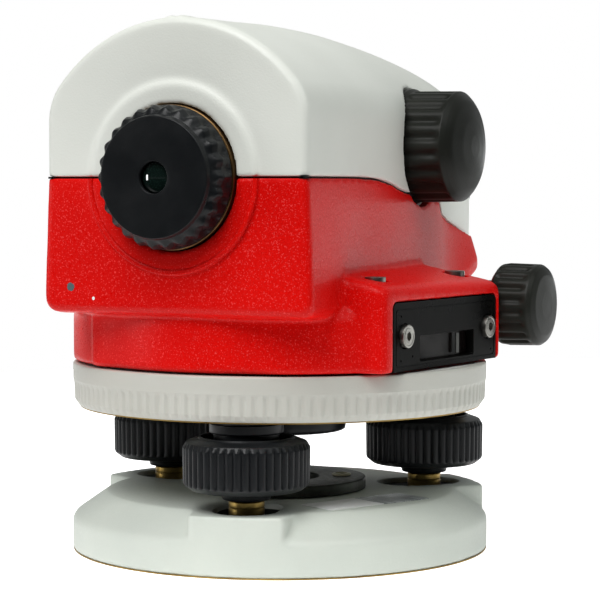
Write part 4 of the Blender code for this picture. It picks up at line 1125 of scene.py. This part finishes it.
def build_drive_knobs():
    r, out = 11.5, DRIVE_OUT_X + 1.0

    def radius(rr, z, angle):
        if rr < 8.9:
            return rr
        return wave(rr, 0.75 * window(z, 51.2, out - 3.0, 1.2), 20, angle, 1.5)

    outside = rounded([
        (2.8, 49.6), (9.4, 49.6, 0.8), (r - 0.3, 51.0, 1.0), (r, 53.0, 1.0),
        (r - 0.2, out - 2.2, 1.0), (r - 1.0, out - 1.1, 1.0), (8.4, out - 0.35, 2.5),
        (4.0, out - 0.05, 3.0), (0.0, out)], False, 5, 0.8)
    shaft_hole = [(2.8, 49.6), (2.8, 58.0), (0, 58.0)]
    for side, spot in DRIVE_WAYS.items():
        knob = lathe(f"drive_knob_fine_{side}", outside[::-1] + shaft_hole, 18 * 16, radius,
                     False, spot)
        fit_out(knob, GREEN_BLACK, "horizontal_drive", "black_grip", f"drive_knob_{side}",
                degrees=50)
        turned(f"drive_collar_{side}", [
            (3.0, 37.0), (5.0, 37.0, 0.2), (5.0, 42.0), (6.6, 42.0, 0.3), (6.6, 48.8, 0.5),
            (3.0, 48.8, 0.2)], 64, ANODISED, "alidade", "brass", f"drive_bush_{side}", matrix=spot)


def build_eyepiece():
    spot, front = EYE_WAY, -EYE_FRONT_Y

    def radius(rr, z, angle):
        if rr < 15.45:
            return rr
        depth = 0.85 * window(z, front - 7.4, front - 1.3, 1.0)
        return wave(rr, depth * step(rr, 15.6, 16.6), 26, angle)

    knob = lathe("eyepiece_grip_fine", rounded([
        (4.0, front - 1.1, 0.3), (4.05, front - 0.05, 0.2), (5.0, front, 0.3),
        (15.2, front, 0.35), (15.6, front - 1.3, 0.3), (17.4, front - 2.4, 0.8),
        (18.15, front - 4.0, 0.8), (18.15, front - 7.6, 0.5), (17.3, front - 8.2, 0.4),
        (15.9, front - 8.2), (15.9, 55.0), (12.4, 55.0), (12.2, front - 1.9),
        (5.2, front - 1.7)], True, 4, 0.9), 26 * 14, radius, True, spot)
    fit_out(knob, BLACK, "eyepiece_grip", "black_grip", "eyepiece_knob", degrees=45)
    turned("eyepiece_cell_fine", [
        (9.7, 41.6, 0.2), (11.7, 41.6, 0.2), (11.7, 64.6, 0.3), (9.7, 64.6, 0.3)],
        96, ANODISED, "eyepiece_optics", "black_metal", "eyepiece_cell", matrix=spot, arc=3)
    nose = [(3.7 * k / 8, front - 0.8 - 0.64 * (k / 8) ** 2) for k in range(9)]
    eye_profile = nose + [(3.7, 63.6), (9.3, 62.2), (9.3, 60.4), (5.0, 59.8), (0, 59.6)]
    for name, node, profile in (
            ("eye_lens_fine", "eye_lens", eye_profile),
            ("field_lens_fine", "field_lens", lens_profile(9.3, 48.6, 47.0, 45.4, 44.6))):
        lens = lathe(name, profile, 96, matrix=spot)
        fit_out(lens, LENS, "eyepiece_optics", "glass", node)
    turned("eyepiece_sleeve_fine", [
        (16.3, 59.9, 0.2), (17.1, 60.1, 0.2), (18.3, 59.9, 0.3), (18.3, 55.0), (20.4, 55.0, 0.3),
        (20.4, 52.6, 0.3), (14.0, 52.6), (14.0, 40.4), (12.3, 40.4), (12.3, 54.2),
        (16.3, 54.2)], 128, BRONZE, "alidade", "bronze", "eyepiece_sleeve", matrix=spot, arc=3)


def lens_profile(radius, crown, edge, edge2, back, steps=10):
    """Profile of a round lens with curved faces; heights run from front to back."""
    front = [(radius * k / steps, crown + (edge - crown) * (k / steps) ** 2)
             for k in range(steps + 1)]
    rear = [(radius * k / steps, back + (edge2 - back) * (k / steps) ** 2)
            for k in range(steps, -1, -1)]
    return front + rear


def build_objective():
    spot, out = OBJECTIVE_WAY, OBJ_FRONT_Y - 1.2
    threads = []
    for k in range(6):
        z = 84.9 + k * 0.6
        threads += [(18.05, z), (18.45, z + 0.3)]
    ring = lathe("objective_ring_fine", rounded([
        (20.6, 84.2, 0.2), (20.6, out - 0.9, 0.7), (20.1, out, 0.4), (19.2, out, 0.3)], arc=4)
        + threads[::-1] + [(16.9, 84.6), (16.9, 79.9), (19.1, 79.9), (19.1, 84.1)], 160,
        closed=True, matrix=spot)
    fit_out(ring, ANODISED, "alidade", "black_metal", "objective_ring")
    lens = lathe("objective_lens_fine", lens_profile(16.5, 84.2, 82.0, 80.4, 79.6, 16), 128,
                 matrix=spot)
    fit_out(lens, LENS, "alidade", "glass", "objective_lens")


def build_level():
    spot = place((VIAL.x, VIAL.y, 0))
    turned("level_holder_fine", [
        (0, 77.0), (8.3, 77.0), (8.3, 82.2, 0.2), (9.5, 82.2, 0.3), (9.5, 75.5, 0.4), (0, 75.5)],
        96, ALUMINIUM, "alidade", "aluminium", "level_holder", matrix=spot, closed=False, arc=3)
    turned("level_vial_fine", [
        (0, 81.9), (3.0, 81.86), (6.0, 81.7), (7.6, 81.5), (8.0, 81.2), (8.0, 77.3), (0, 77.3)],
        96, LIQUID, "alidade", "level_liquid", "level_vial", matrix=spot, closed=False)
    turned("level_ring_fine", [
        (6.0, 82.5, 0.2), (9.5, 82.5, 0.2), (9.5, 83.6, 0.4), (6.3, 83.6, 0.3)],
        96, ANODISED, "alidade", "black_metal", "level_ring", matrix=spot)
    turned("level_mark", [(2.4, 82.0), (2.75, 82.0), (2.75, 82.12), (2.4, 82.12)],
           64, BLACK_RUBBER_AND_SEAM_SHADE, "alidade", "black_metal", matrix=spot)


# ---- stage, light and camera ----
VIEW_ANGLE = math.radians(27.5)
AIM_OFF = math.radians(0.527)
AIM_DOWN = math.radians(3.015)
CAMERA_DISTANCE = 598.5
CAMERA_HEIGHT = 99.1
LENS_MM = 130.44
ROOM_DARK = 0.06
ROOM_BRIGHT = 2.4


def build_camera():
    data = bpy.data.cameras.new("camera")
    data.lens = LENS_MM
    data.sensor_width = 36.0
    data.clip_start = 0.01
    data.clip_end = 50.0
    camera = bpy.data.objects.new("camera", data)
    bpy.context.scene.collection.objects.link(camera)
    camera.location = AXIS + Vector((CAMERA_DISTANCE * math.sin(VIEW_ANGLE),
                                     -CAMERA_DISTANCE * math.cos(VIEW_ANGLE),
                                     CAMERA_HEIGHT)) * MM
    heading = VIEW_ANGLE - AIM_OFF
    aim = Vector((-math.sin(heading) * math.cos(AIM_DOWN), math.cos(heading) * math.cos(AIM_DOWN),
                  -math.sin(AIM_DOWN)))
    camera.rotation_mode = "QUATERNION"
    camera.rotation_quaternion = aim.to_track_quat("-Z", "Y")
    bpy.context.scene.camera = camera


def soft_box(name, azimuth, elevation, distance, size, power, tint=(1.0, 1.0, 1.0)):
    """An area light that looks at the middle of the instrument."""
    target = AXIS + Vector((0, 0, 70.0)) * MM
    a, e = math.radians(azimuth), math.radians(elevation)
    way = Vector((math.sin(a) * math.cos(e), -math.cos(a) * math.cos(e), math.sin(e)))
    data = bpy.data.lights.new(name, "AREA")
    data.shape = "RECTANGLE"
    data.size, data.size_y = size
    data.energy = power
    data.color = tint
    light = bpy.data.objects.new(name, data)
    bpy.context.scene.collection.objects.link(light)
    light.location = target + way * distance
    light.rotation_mode = "QUATERNION"
    light.rotation_quaternion = (-way).to_track_quat("-Z", "Y")


def build_stage():
    floor = lathe("floor", [(0, 0.0), (420.0, 0.0), (420.0, -5.0), (0, -5.0)], 96,
                  matrix=place((0, 250.0, -0.05)))
    s = Surface("floor_paper")
    s.colour(s.mix(s.noise(3.0), (0.90, 0.90, 0.90), (0.93, 0.93, 0.93)))
    s.set(Roughness=0.9, Emission_Color=(1.0, 1.0, 1.0, 1.0))
    ray = s.node("LightPath").outputs["Is Camera Ray"]
    s.link(s.spread(ray, 0.0, 1.0, 0.55, 1.0), s.shader.inputs["Emission Strength"])
    floor.data.materials.append(s.mat)

    world = bpy.data.worlds.new("studio")
    world.use_nodes = True
    bpy.context.scene.world = world
    room = Tree(world.node_tree)
    lit = room.nodes["Background"]
    lit.inputs["Color"].default_value = (0.97, 1.0, 0.99, 1.0)
    way = room.node("SeparateXYZ")
    room.link(room.node("TexCoord").outputs["Generated"], way.inputs["Vector"])
    band = room.spread(way.outputs["Y"], -0.1, 0.9, ROOM_DARK, ROOM_BRIGHT, "SMOOTHSTEP")
    for limits in ((-0.060, -0.038, 0.05, 1.0), (-0.006, 0.03, 1.0, 0.14)):
        band = room.maths("MULTIPLY", band, room.spread(way.outputs["Z"], *limits, "SMOOTHSTEP"))
    room.link(band, lit.inputs["Strength"])
    seen = room.node("Background")
    seen.inputs["Color"].default_value = (1.0, 1.0, 1.0, 1.0)
    blend = room.node("MixShader")
    room.link(room.node("LightPath").outputs["Is Camera Ray"], blend.inputs["Fac"])
    room.link(lit.outputs["Background"], blend.inputs[1])
    room.link(seen.outputs["Background"], blend.inputs[2])
    room.link(blend.outputs["Shader"], room.nodes["World Output"].inputs["Surface"])

    soft_box("key", -5.0, 52.0, 1.3, (0.8, 0.8), 16.5)
    soft_box("side", 75.0, 48.0, 1.3, (1.0, 0.8), 4.6, (0.96, 1.0, 0.98))
    soft_box("fill", -80.0, 10.0, 1.4, (0.9, 0.8), 0.9)
    soft_box("glint", -54.0, 2.0, 1.0, (0.18, 0.18), 0.9)
    soft_box("back", 190.0, 40.0, 1.5, (1.4, 0.9), 0.8)
    bpy.context.scene.view_settings.view_transform = "Standard"


build_camera()
build_stage()
build_base()
build_footscrews()
build_head()
build_circle()
build_cover()
build_housing()
seam_shade_strip()
build_window()
build_focus_knob()
build_drive_knobs()
build_eyepiece()
build_objective()
build_level()
